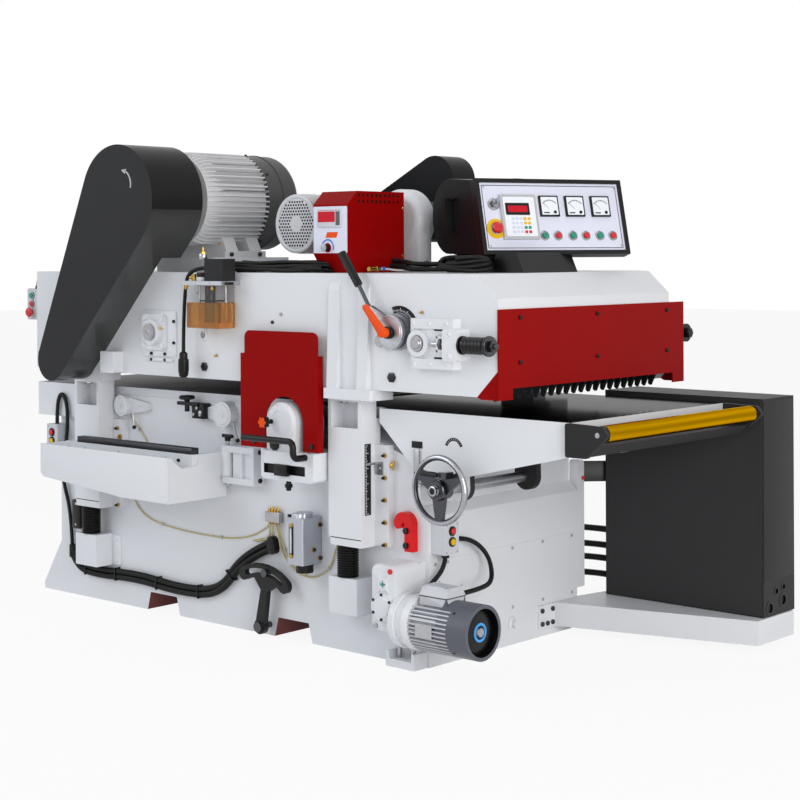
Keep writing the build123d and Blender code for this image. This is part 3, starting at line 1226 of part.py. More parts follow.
def track_shaft(x, reach):
    """Track drum on its shaft."""
    drum = bar_y(x, TRACK_Z, PAD_INNER - DRUM_GAP, (-PAD_HALF, PAD_HALF))
    return drum + bar_y(x, TRACK_Z, TRACK_SHAFT, (-reach, reach))


def track_drive_shaft():
    return track_shaft(TRACK_DRIVE_X, HEAD_HALF + 44)


def track_idler_shaft():
    return track_shaft(TRACK_IDLER_X, HEAD_HALF + 46)


def take_up_blocks():
    """Take-up bearing plates of the idler shaft with their end blocks, rods and nuts."""
    plate = block(TAKE_X, (-HEAD_HALF - TAKE_DEPTH, -HEAD_HALF), TAKE_Z)
    rail = block((TAKE_X[0] + 10, TAKE_X[1]), (-HEAD_HALF - TAKE_DEPTH - 8, -HEAD_HALF - TAKE_DEPTH),
                 (TAKE_Z[1] - 32, TAKE_Z[1]))
    foot = block((TAKE_X[0] + 10, TAKE_X[1]), (-HEAD_HALF - TAKE_DEPTH - 8, -HEAD_HALF - TAKE_DEPTH),
                 (TAKE_Z[0], TAKE_Z[0] + 32))
    hub = plate_xz(disc_at(TRACK_IDLER_X, TRACK_Z, 40.0),
                   (-HEAD_HALF - TAKE_DEPTH - 8, -HEAD_HALF - TAKE_DEPTH))
    end = block(TAKE_BLOCK_X, (-HEAD_HALF - TAKE_BLOCK_DEPTH, -HEAD_HALF),
                (TRACK_Z - TAKE_BLOCK_HALF, TRACK_Z + TAKE_BLOCK_HALF))
    end = fillet(end.edges().filter_by(Axis.Y), 12.0)
    nut_x = (TAKE_BLOCK_X[1] + SPRING_SPAN, TAKE_BLOCK_X[1] + SPRING_SPAN + 6)
    stud = bar_x(SPRING_Y, TRACK_Z, 9.0, (TAKE_BLOCK_X[1], nut_x[1] + 24))
    washer = bar_x(SPRING_Y, TRACK_Z, SPRING_RADIUS + SPRING_WIRE, nut_x)
    nut = plate_yz(Pos(SPRING_Y, TRACK_Z) * RegularPolygon(18.0, 6), (nut_x[1], nut_x[1] + 16))
    bore = bar_y(TRACK_IDLER_X, TRACK_Z, TRACK_SHAFT + BORE_GAP, (-HEAD_HALF - TAKE_DEPTH - 8, -HEAD_HALF))
    plain = plate + [rail, foot, hub] - bore
    return group(plain + [end, stud, washer, nut], mirror(plain, about=Plane.XZ))


def spring_points():
    """Points of the spring's helix, four to a turn with the middles between them."""
    points = []
    start = TAKE_BLOCK_X[1] + 2 * SPRING_LEAD
    for step in range(8 * SPRING_COILS + 1):
        turn = 2 * pi * step / 8
        x = start + SPRING_PITCH * step / 8
        points.append((x, SPRING_Y + SPRING_RADIUS * cos(turn), TRACK_Z + SPRING_RADIUS * sin(turn)))
    return points


def take_up_spring():
    """Coil spring on the take-up rod, one unbroken wire."""
    points = spring_points()
    gaps = [dist(a, b) for i, a in enumerate(points) for b in points[i + 5:]]
    print("spring least gap", round(min(gaps) - 2 * SPRING_WIRE, 2))
    lead = SPRING_LEAD
    y = SPRING_Y + SPRING_RADIUS
    x0 = TAKE_BLOCK_X[1]
    x1 = x0 + SPRING_SPAN
    knee = lead * (1 - cos(pi / 4))
    edges = [Line((x0, y, TRACK_Z - lead), (x0 + lead, y, TRACK_Z - lead))]
    edges.append(ThreePointArc((x0 + lead, y, TRACK_Z - lead),
                               (x0 + 2 * lead - knee, y, TRACK_Z - lead + knee), points[0]))
    for step in range(0, 8 * SPRING_COILS, 2):
        edges.append(ThreePointArc(points[step], points[step + 1], points[step + 2]))
    edges.append(ThreePointArc(points[-1], (x1 - 2 * lead + knee, y, TRACK_Z + lead - knee),
                               (x1 - lead, y, TRACK_Z + lead)))
    edges.append(Line((x1 - lead, y, TRACK_Z + lead), (x1, y, TRACK_Z + lead)))
    start = Plane(origin=(x0, y, TRACK_Z - lead), z_dir=(1, 0, 0))
    spring = sweep(start * Circle(SPRING_WIRE), path=Wire([part.edge() for part in edges]))
    return spring & block((x0, x1), (SPRING_Y - 60, SPRING_Y + 60), (TRACK_Z - 60, TRACK_Z + 60))


def antikick_fingers():
    """Row of anti-kickback fingers on their cross bar under the hood."""
    inner = HEAD_HALF - HEAD_WALL
    bar = bar_y(FINGER_X, FINGER_Z, FINGER_BAR, (-inner - 8, inner + 8))
    pitch = 2 * (inner - 40) / (FINGER_COUNT - 1)
    half = FINGER_BAR + 6
    shape = outline([(FINGER_X - half, FINGER_Z), (FINGER_X - half - 4, FINGER_TIP + 6),
                     (FINGER_X - half + 4, FINGER_TIP), (FINGER_X + half, FINGER_Z - 10),
                     (FINGER_X + half, FINGER_Z + half), (FINGER_X - half, FINGER_Z + half)])
    fingers = []
    for index in range(FINGER_COUNT):
        y = -inner + 40 + pitch * index
        fingers.append(plate_xz(shape, (y - FINGER_PLATE / 2, y + FINGER_PLATE / 2)))
    return bar + fingers


# Drives on top of the head
def belt_guard():
    """Teardrop belt guard over both pulleys, seated on the head's side wall, with the V-belts inside."""
    outer = hull_of((MOTOR_X, MOTOR_Z, GUARD_BIG), (UPPER_X, UPPER_Z, GUARD_SMALL))
    inner = hull_of((MOTOR_X, MOTOR_Z, GUARD_BIG - BELT_SHEET), (UPPER_X, UPPER_Z, GUARD_SMALL - BELT_SHEET))
    guard = plate_xz(outer, (BELT_GUARD_FACE, BELT_GUARD_BACK))
    guard -= plate_xz(inner, (BELT_GUARD_FACE + BELT_SHEET, BELT_GUARD_BACK))
    guard -= block((UPPER_X - 300, MOTOR_X + 300), (-HEAD_HALF, BELT_GUARD_BACK),
                   (0, HEAD_HIGH + SADDLE_HEIGHT))
    return group(guard, drive_belts())


def drive_belts():
    """Side-by-side V-belts between the motor pulley and the cutterhead pulley."""
    inner = hull_of((MOTOR_X, MOTOR_Z, MOTOR_PULLEY + BELT_GAP), (UPPER_X, UPPER_Z, CUTTER_PULLEY + BELT_GAP))
    thick = BELT_GAP + BELT_THICK
    outer = hull_of((MOTOR_X, MOTOR_Z, MOTOR_PULLEY + thick), (UPPER_X, UPPER_Z, CUTTER_PULLEY + thick))
    belts = []
    for index in range(3):
        low = PULLEY_Y[0] + 9 + 22 * index
        belts.append(plate_xz(outer - inner, (low, low + 17)))
    return group(*belts)


def main_motor():
    """Finned main motor on feet, with drive-end shield and fan cowl."""
    body = bar_y(MOTOR_X, MOTOR_Z, MOTOR_CORE, MOTOR_BODY)
    for index in range(FIN_COUNT):
        turn = 360 / FIN_COUNT * (index + 0.5)
        fin = block((-FIN_PLATE / 2, FIN_PLATE / 2), MOTOR_BODY, (MOTOR_CORE - 4, MOTOR_FINS))
        if 150 < turn < 210:
            continue
        body += Pos(MOTOR_X, 0, MOTOR_Z) * Rot(0, turn, 0) * fin
    shield = bar_y(MOTOR_X, MOTOR_Z, MOTOR_CORE + 4, (MOTOR_SHIELD + 24, MOTOR_BODY[0]))
    nose = bar_y(MOTOR_X, MOTOR_Z, 70.0, (MOTOR_SHIELD, MOTOR_SHIELD + 24))
    cowl = bar_y(MOTOR_X, MOTOR_Z, COWL_RADIUS, (MOTOR_BODY[1], COWL_END))
    cowl = fillet(cowl.edges().group_by(Axis.Y)[-1], 28.0)
    base = (HEAD_HIGH + SADDLE_HEIGHT, HEAD_HIGH + SADDLE_HEIGHT + 24)
    foot = block((MOTOR_X - 150, MOTOR_X + 150), (-270, -60), base)
    web_points = [(-150, base[1]), (150, base[1]), (118, MOTOR_Z - MOTOR_CORE + 40),
                  (-118, MOTOR_Z - MOTOR_CORE + 40)]
    web = plate_xz(outline([(MOTOR_X + x, z) for x, z in web_points]), (-262, -202))
    return body + [shield, nose, cowl, foot, web, Pos(0, 120, 0) * web]


def track_motor():
    """Track feed motor with a domed fan cap, on its gearbox."""
    cap_y = TRACK_MOTOR_Y[0]
    body = bar_y(TRACK_MOTOR_X, TRACK_MOTOR_Z, TRACK_MOTOR_RADIUS, (cap_y, cap_y + 84))
    body = fillet(body.edges().group_by(Axis.Y)[0], 26.0)
    body += bar_y(TRACK_MOTOR_X, TRACK_MOTOR_Z, TRACK_MOTOR_RADIUS - 10, (cap_y + 84, TRACK_MOTOR_Y[1]))
    for index in range(20):
        fin = block((-2.5, 2.5), (cap_y + 92, TRACK_MOTOR_Y[1]),
                    (TRACK_MOTOR_RADIUS - 14, TRACK_MOTOR_RADIUS - 2))
        body += Pos(TRACK_MOTOR_X, 0, TRACK_MOTOR_Z) * Rot(0, 18 * index, 0) * fin
    gear = block((TRACK_MOTOR_X - 80, TRACK_MOTOR_X + 70), (TRACK_MOTOR_Y[1], TRACK_MOTOR_Y[1] + 150),
                 (HEAD_HIGH, TRACK_MOTOR_Z + 90))
    return body + fillet(gear.edges().filter_by(Axis.Y), 20.0)


def speed_box():
    """Feed speed box with a sloped front and a recessed face for the display and the knob."""
    y0, y1 = SPEED_Y
    points = [(y0 + SPEED_SLOPE, SPEED_Z[0]), (y1, SPEED_Z[0]), (y1, SPEED_Z[1]),
              (y0 + SPEED_SLOPE, SPEED_Z[1])]
    points += [(y0, SPEED_BREAK[1]), (y0, SPEED_BREAK[0])]
    box = plate_yz(outline(points), SPEED_X)
    display = block((SPEED_X[0] + 26, SPEED_X[1] - 34), (y0 - 5, y0),
                    (SPEED_BREAK[1] - 76, SPEED_BREAK[1] - 20))
    seat = bar_y(*SPEED_KNOB, SPEED_KNOB_RADIUS + 5, (y0 - 3, y0))
    return box + [display, seat] - bar_y(*SPEED_KNOB, 4.0 + BORE_GAP, (y0 - 3, y0 + 14))


def speed_knob():
    """Turning knob of the speed box on its spindle."""
    y0 = SPEED_Y[0]
    knob = bar_y(*SPEED_KNOB, SPEED_KNOB_RADIUS, (y0 - 20, y0 - 4))
    mark = block((SPEED_KNOB[0] - 1.5, SPEED_KNOB[0] + 1.5), (y0 - 22, y0 - 20),
                 (SPEED_KNOB[1], SPEED_KNOB[1] + 9))
    return knob + [mark, bar_y(*SPEED_KNOB, 4.0, (y0 - 4, y0 + 12))]


def rear_drive():
    """Far-side drive: teardrop belt guard, round-ended cover with a grip, and its motor."""
    guard = plate_xz(hull_of(REAR_TOP, REAR_LOW), REAR_Y)
    guard += block((-40, 120), REAR_Y, (HEAD_HIGH, REAR_LOW[1]))
    cover = plate_xz(hull_of((COVER_X[0], COVER_Z, COVER_RADIUS), (COVER_X[1], COVER_Z, COVER_RADIUS)),
                     COVER_Y)
    cover += block((COVER_X[0] - 20, COVER_X[1] + 20), COVER_Y, (HEAD_HIGH, COVER_Z))
    grip = block((COVER_X[0] - 10, COVER_X[0] + 84), (COVER_Y[0] - 34, COVER_Y[0]),
                 (COVER_Z - 62, COVER_Z + 70))
    cover += chamfer(grip.edges().group_by(Axis.Y)[0], 14.0)
    motor = bar_y(REAR_MOTOR_X, REAR_MOTOR_Z, REAR_MOTOR_RADIUS, REAR_MOTOR_Y)
    motor = fillet(motor.edges().group_by(Axis.Y)[0], 30.0)
    motor += bar_y(REAR_MOTOR_X, REAR_MOTOR_Z, REAR_MOTOR_RADIUS - 40, (REAR_MOTOR_Y[1], COVER_Y[0]))
    motor += block((REAR_MOTOR_X - 70, REAR_MOTOR_X + 70), (REAR_MOTOR_Y[0] + 10, REAR_MOTOR_Y[1]),
                   (HEAD_HIGH, REAR_MOTOR_Z - 60))
    return group(guard, cover, motor)


# Controls
def panel_plane(u=0.0, v=0.0, out=0.0):
    """Plane on the control panel: u across, v up the face, out of the face."""
    yaw, tilt = radians(PANEL_YAW), radians(PANEL_TILT)
    normal = (cos(tilt) * cos(yaw), -cos(tilt) * sin(yaw), sin(tilt))
    across = (sin(yaw), cos(yaw), 0)
    face = Plane(origin=PANEL_CENTRE, x_dir=across, z_dir=normal)
    return Plane(origin=face.from_local_coords((u, v, out)), x_dir=across, z_dir=normal)


def seat(plane, radius):
    """Bezel ring and bore for a push button, as (ring, bore)."""
    low = (Align.CENTER, Align.CENTER, Align.MIN)
    high = (Align.CENTER, Align.CENTER, Align.MAX)
    ring = plane * Cylinder(radius + 4, BEZEL_HEIGHT, align=low)
    bore = plane * Cylinder(radius + BUTTON_CLEAR, BUTTON_STEM + 6, align=high)
    return ring, bore + plane * Cylinder(radius + BUTTON_CLEAR, BEZEL_HEIGHT, align=low)


def button(plane, radius=BUTTON_RADIUS, height=BUTTON_HEIGHT):
    """Push button cap with its plunger in the bore."""
    low = (Align.CENTER, Align.CENTER, Align.MIN)
    high = (Align.CENTER, Align.CENTER, Align.MAX)
    cap = plane * Cylinder(radius, height, align=low)
    cap = chamfer(cap.faces().sort_by(plane_axis(plane))[-1].edges(), 1.2)
    return cap + plane * Cylinder(radius, BUTTON_STEM - 6, align=high)


def plane_axis(plane):
    return Axis(plane.origin, plane.z_dir)


def mushroom(plane):
    """Emergency stop mushroom on its stem."""
    low = (Align.CENTER, Align.CENTER, Align.MIN)
    profile = outline([(0, 12), (MUSHROOM_RADIUS - 3, 12), (MUSHROOM_RADIUS, 16),
                       (MUSHROOM_RADIUS - 4, MUSHROOM_HEIGHT - 4),
                       (MUSHROOM_RADIUS - 10, MUSHROOM_HEIGHT), (0, MUSHROOM_HEIGHT)])
    head = revolve(Plane.XZ * profile, axis=Axis.Z)
    stem = Pos(0, 0, 6 - BUTTON_STEM) * Cylinder(BUTTON_RADIUS, BUTTON_STEM + 8, align=low)
    return plane * (head + stem)


def panel_button_planes():
    """Planes of the panel's six push buttons by node name."""
    planes = {}
    for index, u in enumerate(PAIR_U):
        planes[f"panel_start_{index + 1}"] = panel_plane(u, BUTTON_V, -PANEL_RECESS)
        planes[f"panel_stop_{index + 1}"] = panel_plane(u + PAIR_STEP, BUTTON_V, -PANEL_RECESS)
    return planes


def control_panel():
    """Panel box with a recessed face, meters, keypad unit, bezels and its pedestal."""
    face = panel_plane()
    top = (Align.CENTER, Align.CENTER, Align.MAX)
    low = (Align.CENTER, Align.CENTER, Align.MIN)
    box = Box(PANEL_WIDTH, PANEL_HEIGHT, PANEL_DEPTH, align=top)
    box = chamfer(box.edges().group_by(Axis.Z)[0].filter_by(Axis.X), 34.0)
    box -= Box(PANEL_WIDTH - 2 * PANEL_FRAME, PANEL_HEIGHT - 2 * PANEL_FRAME, PANEL_RECESS, align=top)
    for u in METER_U:
        box += Pos(u, METER_V, -PANEL_RECESS) * Box(METER_SIZE, METER_SIZE, 9, align=low)
    keypad = (KEYPAD_U[1] - KEYPAD_U[0], KEYPAD_V[1] - KEYPAD_V[0])
    box += Pos(sum(KEYPAD_U) / 2, sum(KEYPAD_V) / 2, -PANEL_RECESS) * Box(*keypad, 12, align=low)
    panel = face * box
    points = [(1088, HEAD_HIGH), (1226, HEAD_HIGH), (1196, HEAD_HIGH + 66), (1112, HEAD_HIGH + 66)]
    panel += plate_xz(outline(points), (-225, 70))
    seats = [seat(plane, BUTTON_RADIUS) for plane in panel_button_planes().values()]
    seats += [seat(panel_plane(*uv, -PANEL_RECESS), BUTTON_RADIUS) for uv in (STOP_UV, KEY_UV)]
    for ring, bore in seats:
        panel = panel + ring - bore
    return panel


def panel_mushroom():
    return mushroom(panel_plane(*STOP_UV, -PANEL_RECESS))


def key_switch():
    """Key switch with its key in the slot."""
    plane = panel_plane(*KEY_UV, -PANEL_RECESS)
    low = (Align.CENTER, Align.CENTER, Align.MIN)
    lock = Pos(0, 0, 6 - BUTTON_STEM) * Cylinder(BUTTON_RADIUS, BUTTON_STEM + 4, align=low)
    key = Pos(0, 0, 10) * Box(3, 9, 12, align=low) + Pos(0, 3, 20) * Box(3, 20, 18, align=low)
    return plane * (lock + key)


def station(x, y, z, planes):
    """Push-button box with bezels and bores at the given planes."""
    box = block(x, y, z)
    for plane in planes:
        ring, bore = seat(plane, BUTTON_RADIUS)
        box = box + ring - bore
    return box


def facing_operator(x, y, z):
    return Plane(origin=(x, y, z), x_dir=(1, 0, 0), z_dir=(0, -1, 0))


def facing_infeed(x, y, z):
    return Plane(origin=(x, y, z), x_dir=(0, 1, 0), z_dir=(1, 0, 0))


def head_planes():
    x = sum(HEAD_STATION_X) / 2
    return {name: facing_operator(x, HEAD_STATION_Y[0], z) for name, z in HEAD_BUTTON_Z.items()}


def left_planes():
    x = sum(LEFT_STATION_X) / 2
    return {name: facing_operator(x, LEFT_STATION_Y[0], z) for name, z in LEFT_BUTTON_Z.items()}


def right_planes():
    y = sum(RIGHT_STATION_Y) / 2
    return {name: facing_infeed(RIGHT_STATION_X[1], y, z) for name, z in RIGHT_BUTTON_Z.items()}


def head_button_box():
    return station(HEAD_STATION_X, HEAD_STATION_Y, HEAD_STATION_Z, head_planes().values())


def base_button_boxes():
    """Two-button boxes at the outfeed and infeed corners of the base."""
    left = station(LEFT_STATION_X, LEFT_STATION_Y, LEFT_STATION_Z, left_planes().values())
    right = station(RIGHT_STATION_X, RIGHT_STATION_Y, RIGHT_STATION_Z, right_planes().values())
    return group(left, right)


# Lubricator, levers and cables on the head


def lubricator():
    """Automatic lubricator: oil tank, mounting plate, pump head and filler cap."""
    tank = block(LUBE_X, LUBE_Y, LUBE_Z)
    tank = fillet(tank.edges().filter_by(Axis.Z), 10.0)
    plate = block((LUBE_X[0] - 18, LUBE_X[1] + 20), (LUBE_Y[0] - 4, -HEAD_HALF), (LUBE_Z[1], LUBE_Z[1] + 14))
    head = block((LUBE_X[0] + 84, LUBE_X[1] + 8), (LUBE_Y[0] + 10, LUBE_Y[1] - 6),
                 (LUBE_Z[1] + 14, LUBE_Z[1] + 92))
    cap = bar_z(LUBE_X[0] + 46, -560.0, 14.0, (LUBE_Z[1] + 14, LUBE_Z[1] + 44))
    return tank + [plate, fillet(head.edges().filter_by(Axis.Z), 5.0), cap]


def crank_lever():
    """Lever of the dial: hub ring, bent rod and grip."""
    y = sum(CRANK_Y) / 2
    hub = hull_of((DIAL_X, DIAL_Z, 42.0), (*CRANK_BEND, 14.0))
    lever = plate_xz(hub, CRANK_Y) - bar_y(DIAL_X, DIAL_Z, 14.0, CRANK_Y)
    for start, end, radius in ((CRANK_BEND, CRANK_GRIP, 6.5), (CRANK_GRIP, CRANK_TIP, 14.0)):
        run = (end[0] - start[0], 0, end[1] - start[1])
        lever += rod((start[0], y, start[1]), run, radius, hypot(run[0], run[2]))
    return lever


def clamp_lever():
    """Orange clamp lever on the dial's screw."""
    hub = bar_y(DIAL_X, DIAL_Z, 21.0, CLAMP_Y)
    arm = hull_of((DIAL_X, DIAL_Z, 18.0), (*CLAMP_TIP, 13.0))
    lever = hub + plate_xz(arm, (CLAMP_Y[0] - 4, CLAMP_Y[0] + 16))
    return lever + bar_y(DIAL_X, DIAL_Z, 12.0, (CLAMP_Y[1], -HEAD_HALF - DIAL_HEIGHT - 0.5))


def head_cables():
    """Cable bundles along the head top and the lubricator's lead with its plug."""
    bundle = []
    for index, y in enumerate((-486.0, -462.0)):
        bundle.append(route([(120.0, y, BUNDLE_Z), (190.0, y - 4, BUNDLE_Z), (300.0, y + 5, BUNDLE_Z),
                             (400.0, y - 4, BUNDLE_Z), (480.0, y + 3, BUNDLE_Z),
                             (538.0, y + 30 - 20 * index, BUNDLE_Z)], 11.0))
    x, y = LUBE_X[0] - 52, -568.0
    high = LUBE_Z[1] + 60
    lead = route([(LUBE_X[0] + 84, y, high), (LUBE_X[0] - 2, y, high), (x + 2, y, high - 60),
                  (x - 1, y, 1000.0)], 7.0)
    plug = bar_z(x - 1, y, 19.0, (908.0, 1000.0))
    return group(*bundle, lead, plug)


# Node list
def all_buttons():
    """Push buttons and the head's stop mushroom by node name."""
    planes = {**panel_button_planes(), **head_planes(), **left_planes(), **right_planes()}
    nodes = {name: button(plane) for name, plane in planes.items() if name != "head_mushroom"}
    nodes["head_mushroom"] = mushroom(planes["head_mushroom"])
    nodes["panel_mushroom"] = panel_mushroom()
    nodes["key_switch"] = key_switch()
    nodes["speed_knob"] = speed_knob()
    return nodes


ASSEMBLIES = (base_frame, lift_guides, screw_bellows, outfeed_table, infeed_table, infeed_roller,
              handwheel, wheel_grip, lower_cutterhead, lower_carriage, lower_guard, carriage_knob,
              swing_arm, lift_gear_motor, hand_oiler, pump_lever, tension_quadrant, tool_hook,
              cabinet_shelf, electrical_cabinet, base_lines, base_button_boxes, head_frame,
              head_columns, hood_front, feed_track, track_drive_shaft, track_idler_shaft,
              take_up_blocks, take_up_spring, antikick_fingers, belt_guard, main_motor,
              motor_pulley, upper_cutterhead, track_motor, speed_box, rear_drive, control_panel,
              head_button_box, lubricator, crank_lever, clamp_lever, head_cables)


def main():
    nodes = {make.__name__: make() for make in ASSEMBLIES}
    nodes.update(all_buttons())
    os.makedirs("parts", exist_ok=True)
    for name, shape in nodes.items():
        export_step(shape, f"parts/{name}.step")
    print(len(nodes), "nodes")


main()
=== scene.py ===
"""Looks of a double-sided planer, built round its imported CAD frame."""

import itertools
import math

import bmesh
import bpy
from mathutils import Matrix, Vector


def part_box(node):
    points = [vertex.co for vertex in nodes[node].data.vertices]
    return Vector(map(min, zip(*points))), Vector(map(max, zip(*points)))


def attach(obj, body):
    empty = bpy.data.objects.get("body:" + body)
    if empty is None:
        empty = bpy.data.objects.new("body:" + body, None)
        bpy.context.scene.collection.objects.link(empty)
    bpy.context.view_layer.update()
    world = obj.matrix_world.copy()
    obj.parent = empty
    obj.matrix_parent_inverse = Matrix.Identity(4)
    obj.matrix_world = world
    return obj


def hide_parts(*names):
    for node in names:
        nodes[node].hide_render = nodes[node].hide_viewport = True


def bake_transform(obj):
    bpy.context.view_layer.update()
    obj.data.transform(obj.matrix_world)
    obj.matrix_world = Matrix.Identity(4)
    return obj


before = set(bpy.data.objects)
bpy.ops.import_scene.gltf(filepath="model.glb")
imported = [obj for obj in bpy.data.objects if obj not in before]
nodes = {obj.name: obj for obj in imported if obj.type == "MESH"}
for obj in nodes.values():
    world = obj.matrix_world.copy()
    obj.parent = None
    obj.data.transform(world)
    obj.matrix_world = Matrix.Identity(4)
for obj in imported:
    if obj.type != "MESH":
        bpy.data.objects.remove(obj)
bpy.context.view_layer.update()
scene = bpy.context.scene
MM = 0.001
SMOOTH_ANGLE = math.radians(35)
HOSE_SMOOTH_ANGLE = math.radians(60)

# Camera, from the photograph's perspective
CAMERA_PLACE = (4.587, -4.584, 1.350)
CAMERA_TURN = 41.8
CAMERA_ROLL = -0.27
CAMERA_LENS = 76.5
CAMERA_SENSOR = 36.0
CAMERA_SHIFT = -0.184


def linear(red, green, blue):
    """Linear colour from the 0-255 values seen in a photograph."""
    values = []
    for value in (red, green, blue):
        part = value / 255
        values.append(part / 12.92 if part <= 0.04045 else ((part + 0.055) / 1.055) ** 2.4)
    return (*values, 1.0)


# Shared surface effects
def effect(name, inputs, outputs):
    """Empty node group with its sockets, and its two end nodes."""
    tree = bpy.data.node_groups.new(name, "ShaderNodeTree")
    for label, kind, value in inputs:
        socket = tree.interface.new_socket(label, in_out="INPUT", socket_type=kind)
        socket.default_value = value
    for label, kind in outputs:
        tree.interface.new_socket(label, in_out="OUTPUT", socket_type=kind)
    return tree, tree.nodes.new("NodeGroupInput"), tree.nodes.new("NodeGroupOutput")


FLOAT = "NodeSocketFloat"
COLOUR = "NodeSocketColor"
VECTOR = "NodeSocketVector"
SURFACE_OUT = (("Colour", COLOUR), ("Roughness", FLOAT), ("Normal", VECTOR))


def noise(tree, vector, scale, detail=3.0):
    """Noise node on a vector; the scale is a number or a socket."""
    node = tree.nodes.new("ShaderNodeTexNoise")
    node.inputs["Detail"].default_value = detail
    tree.links.new(vector, node.inputs["Vector"])
    if isinstance(scale, float):
        node.inputs["Scale"].default_value = scale
    else:
        tree.links.new(scale, node.inputs["Scale"])
    return node.outputs["Fac"]


def maths(tree, operation, *values):
    """Maths node; each value is a number or a socket."""
    node = tree.nodes.new("ShaderNodeMath")
    node.operation = operation
    for socket, value in zip(node.inputs, values):
        if isinstance(value, (int, float)):
            socket.default_value = value
        else:
            tree.links.new(value, socket)
    return node.outputs[0]


def ramp(tree, value, low, high):
    """Value clamped and stretched from low-high to 0-1."""
    node = tree.nodes.new("ShaderNodeMapRange")
    node.inputs["From Min"].default_value = low
    node.inputs["From Max"].default_value = high
    tree.links.new(value, node.inputs["Value"])
    return node.outputs["Result"]


def mixed(tree, factor, first, second):
    """Mix of two colour sockets by a factor socket."""
    node = tree.nodes.new("ShaderNodeMix")
    node.data_type = "RGBA"
    for number, value in ((0, factor), (6, first), (7, second)):
        tree.links.new(value, node.inputs[number])
    return node.outputs[2]


def bumped(tree, height, strength, distance):
    """Normal that follows a height; the strength is a socket."""
    node = tree.nodes.new("ShaderNodeBump")
    node.inputs["Distance"].default_value = distance
    tree.links.new(height, node.inputs["Height"])
    tree.links.new(strength, node.inputs["Strength"])
    return node.outputs["Normal"]


def mottle_effect():
    """Slow colour drift, uneven gloss and a fine surface grain."""
    inputs = (("Colour", COLOUR, (1, 1, 1, 1)), ("Shade", COLOUR, (1, 1, 1, 1)), ("Scale", FLOAT, 3.0),
              ("Amount", FLOAT, 0.3), ("Roughness", FLOAT, 0.4),
              ("Grain", FLOAT, 0.05), ("Grain Scale", FLOAT, 700.0))
    tree, start, end = effect("mottle", inputs, SURFACE_OUT)
    place = tree.nodes.new("ShaderNodeTexCoord").outputs["Object"]
    cloud = noise(tree, place, start.outputs["Scale"])
    drift = maths(tree, "MULTIPLY", ramp(tree, cloud, 0.35, 0.75), start.outputs["Amount"])
    colour = mixed(tree, drift, start.outputs["Colour"], start.outputs["Shade"])
    gloss = maths(tree, "MULTIPLY_ADD", maths(tree, "SUBTRACT", noise(tree, place, 9.0), 0.5), 0.12,
                  start.outputs["Roughness"])
    grain = noise(tree, place, start.outputs["Grain Scale"], 2.0)
    tree.links.new(colour, end.inputs["Colour"])
    tree.links.new(gloss, end.inputs["Roughness"])
    tree.links.new(bumped(tree, grain, start.outputs["Grain"], 0.0006), end.inputs["Normal"])
    return tree


def brushed_effect():
    """Fine lines along one direction, as on ground or turned metal; stretched wide, as on the gold roller,
    they are painted reflection bands.
    """
    inputs = (("Colour", COLOUR, (1, 1, 1, 1)), ("Shade", COLOUR, (1, 1, 1, 1)),
              ("Stretch", VECTOR, (1, 1, 1)), ("Roughness", FLOAT, 0.3),
              ("Spread", FLOAT, 0.15), ("Grain", FLOAT, 0.05))
    tree, start, end = effect("brushed", inputs, SURFACE_OUT)
    place = tree.nodes.new("ShaderNodeTexCoord").outputs["Object"]
    stretch = tree.nodes.new("ShaderNodeVectorMath")
    stretch.operation = "MULTIPLY"
    tree.links.new(place, stretch.inputs[0])
    tree.links.new(start.outputs["Stretch"], stretch.inputs[1])
    lines = noise(tree, stretch.outputs[0], 1.0, 4.0)
    colour = mixed(tree, ramp(tree, lines, 0.3, 0.7), start.outputs["Colour"], start.outputs["Shade"])
    offset = maths(tree, "MULTIPLY", maths(tree, "SUBTRACT", lines, 0.5), start.outputs["Spread"])
    tree.links.new(colour, end.inputs["Colour"])
    tree.links.new(maths(tree, "ADD", start.outputs["Roughness"], offset), end.inputs["Roughness"])
    tree.links.new(bumped(tree, lines, start.outputs["Grain"], 0.0003), end.inputs["Normal"])
    return tree


MOTTLE = mottle_effect()
BRUSHED = brushed_effect()


def surface(name, slot, tree, settings, metallic=0.0, **sockets):
    """Material whose colour, gloss and grain come from one shared effect."""
    material = bpy.data.materials.new(name)
    material.use_nodes = True
    links = material.node_tree.links
    shader = material.node_tree.nodes["Principled BSDF"]
    look = material.node_tree.nodes.new("ShaderNodeGroup")
    look.node_tree = tree
    for label, value in settings.items():
        look.inputs[label].default_value = value
    links.new(look.outputs["Colour"], shader.inputs["Base Color"])
    links.new(look.outputs["Roughness"], shader.inputs["Roughness"])
    links.new(look.outputs["Normal"], shader.inputs["Normal"])
    shader.inputs["Metallic"].default_value = metallic
    for label, value in sockets.items():
        shader.inputs[label.replace("_", " ")].default_value = value
    return material


def coated(name, slot, colour, rough, amount=0.35, scale=3.0, grain=0.04, grain_scale=700.0, shade=0.86,
           **rest):
    """Painted, moulded or cast surface."""
    base = linear(*colour)
    dark = tuple(value * shade for value in base[:3]) + (1.0,)
    settings = {"Colour": base, "Shade": dark, "Scale": scale, "Amount": amount, "Roughness": rough,
                "Grain": grain, "Grain Scale": grain_scale}
    return surface(name, slot, MOTTLE, settings, **rest)


def metal(name, slot, colour, rough, stretch, shade=0.8, spread=0.15, grain=0.05, **rest):
    """Bare metal with lines across the stretched directions."""
    base = linear(*colour)
    dark = tuple(value * shade for value in base[:3]) + (1.0,)
    settings = {"Colour": base, "Shade": dark, "Stretch": stretch,
                "Roughness": rough, "Spread": spread, "Grain": grain}
    return surface(name, slot, BRUSHED, settings, metallic=1.0, **rest)


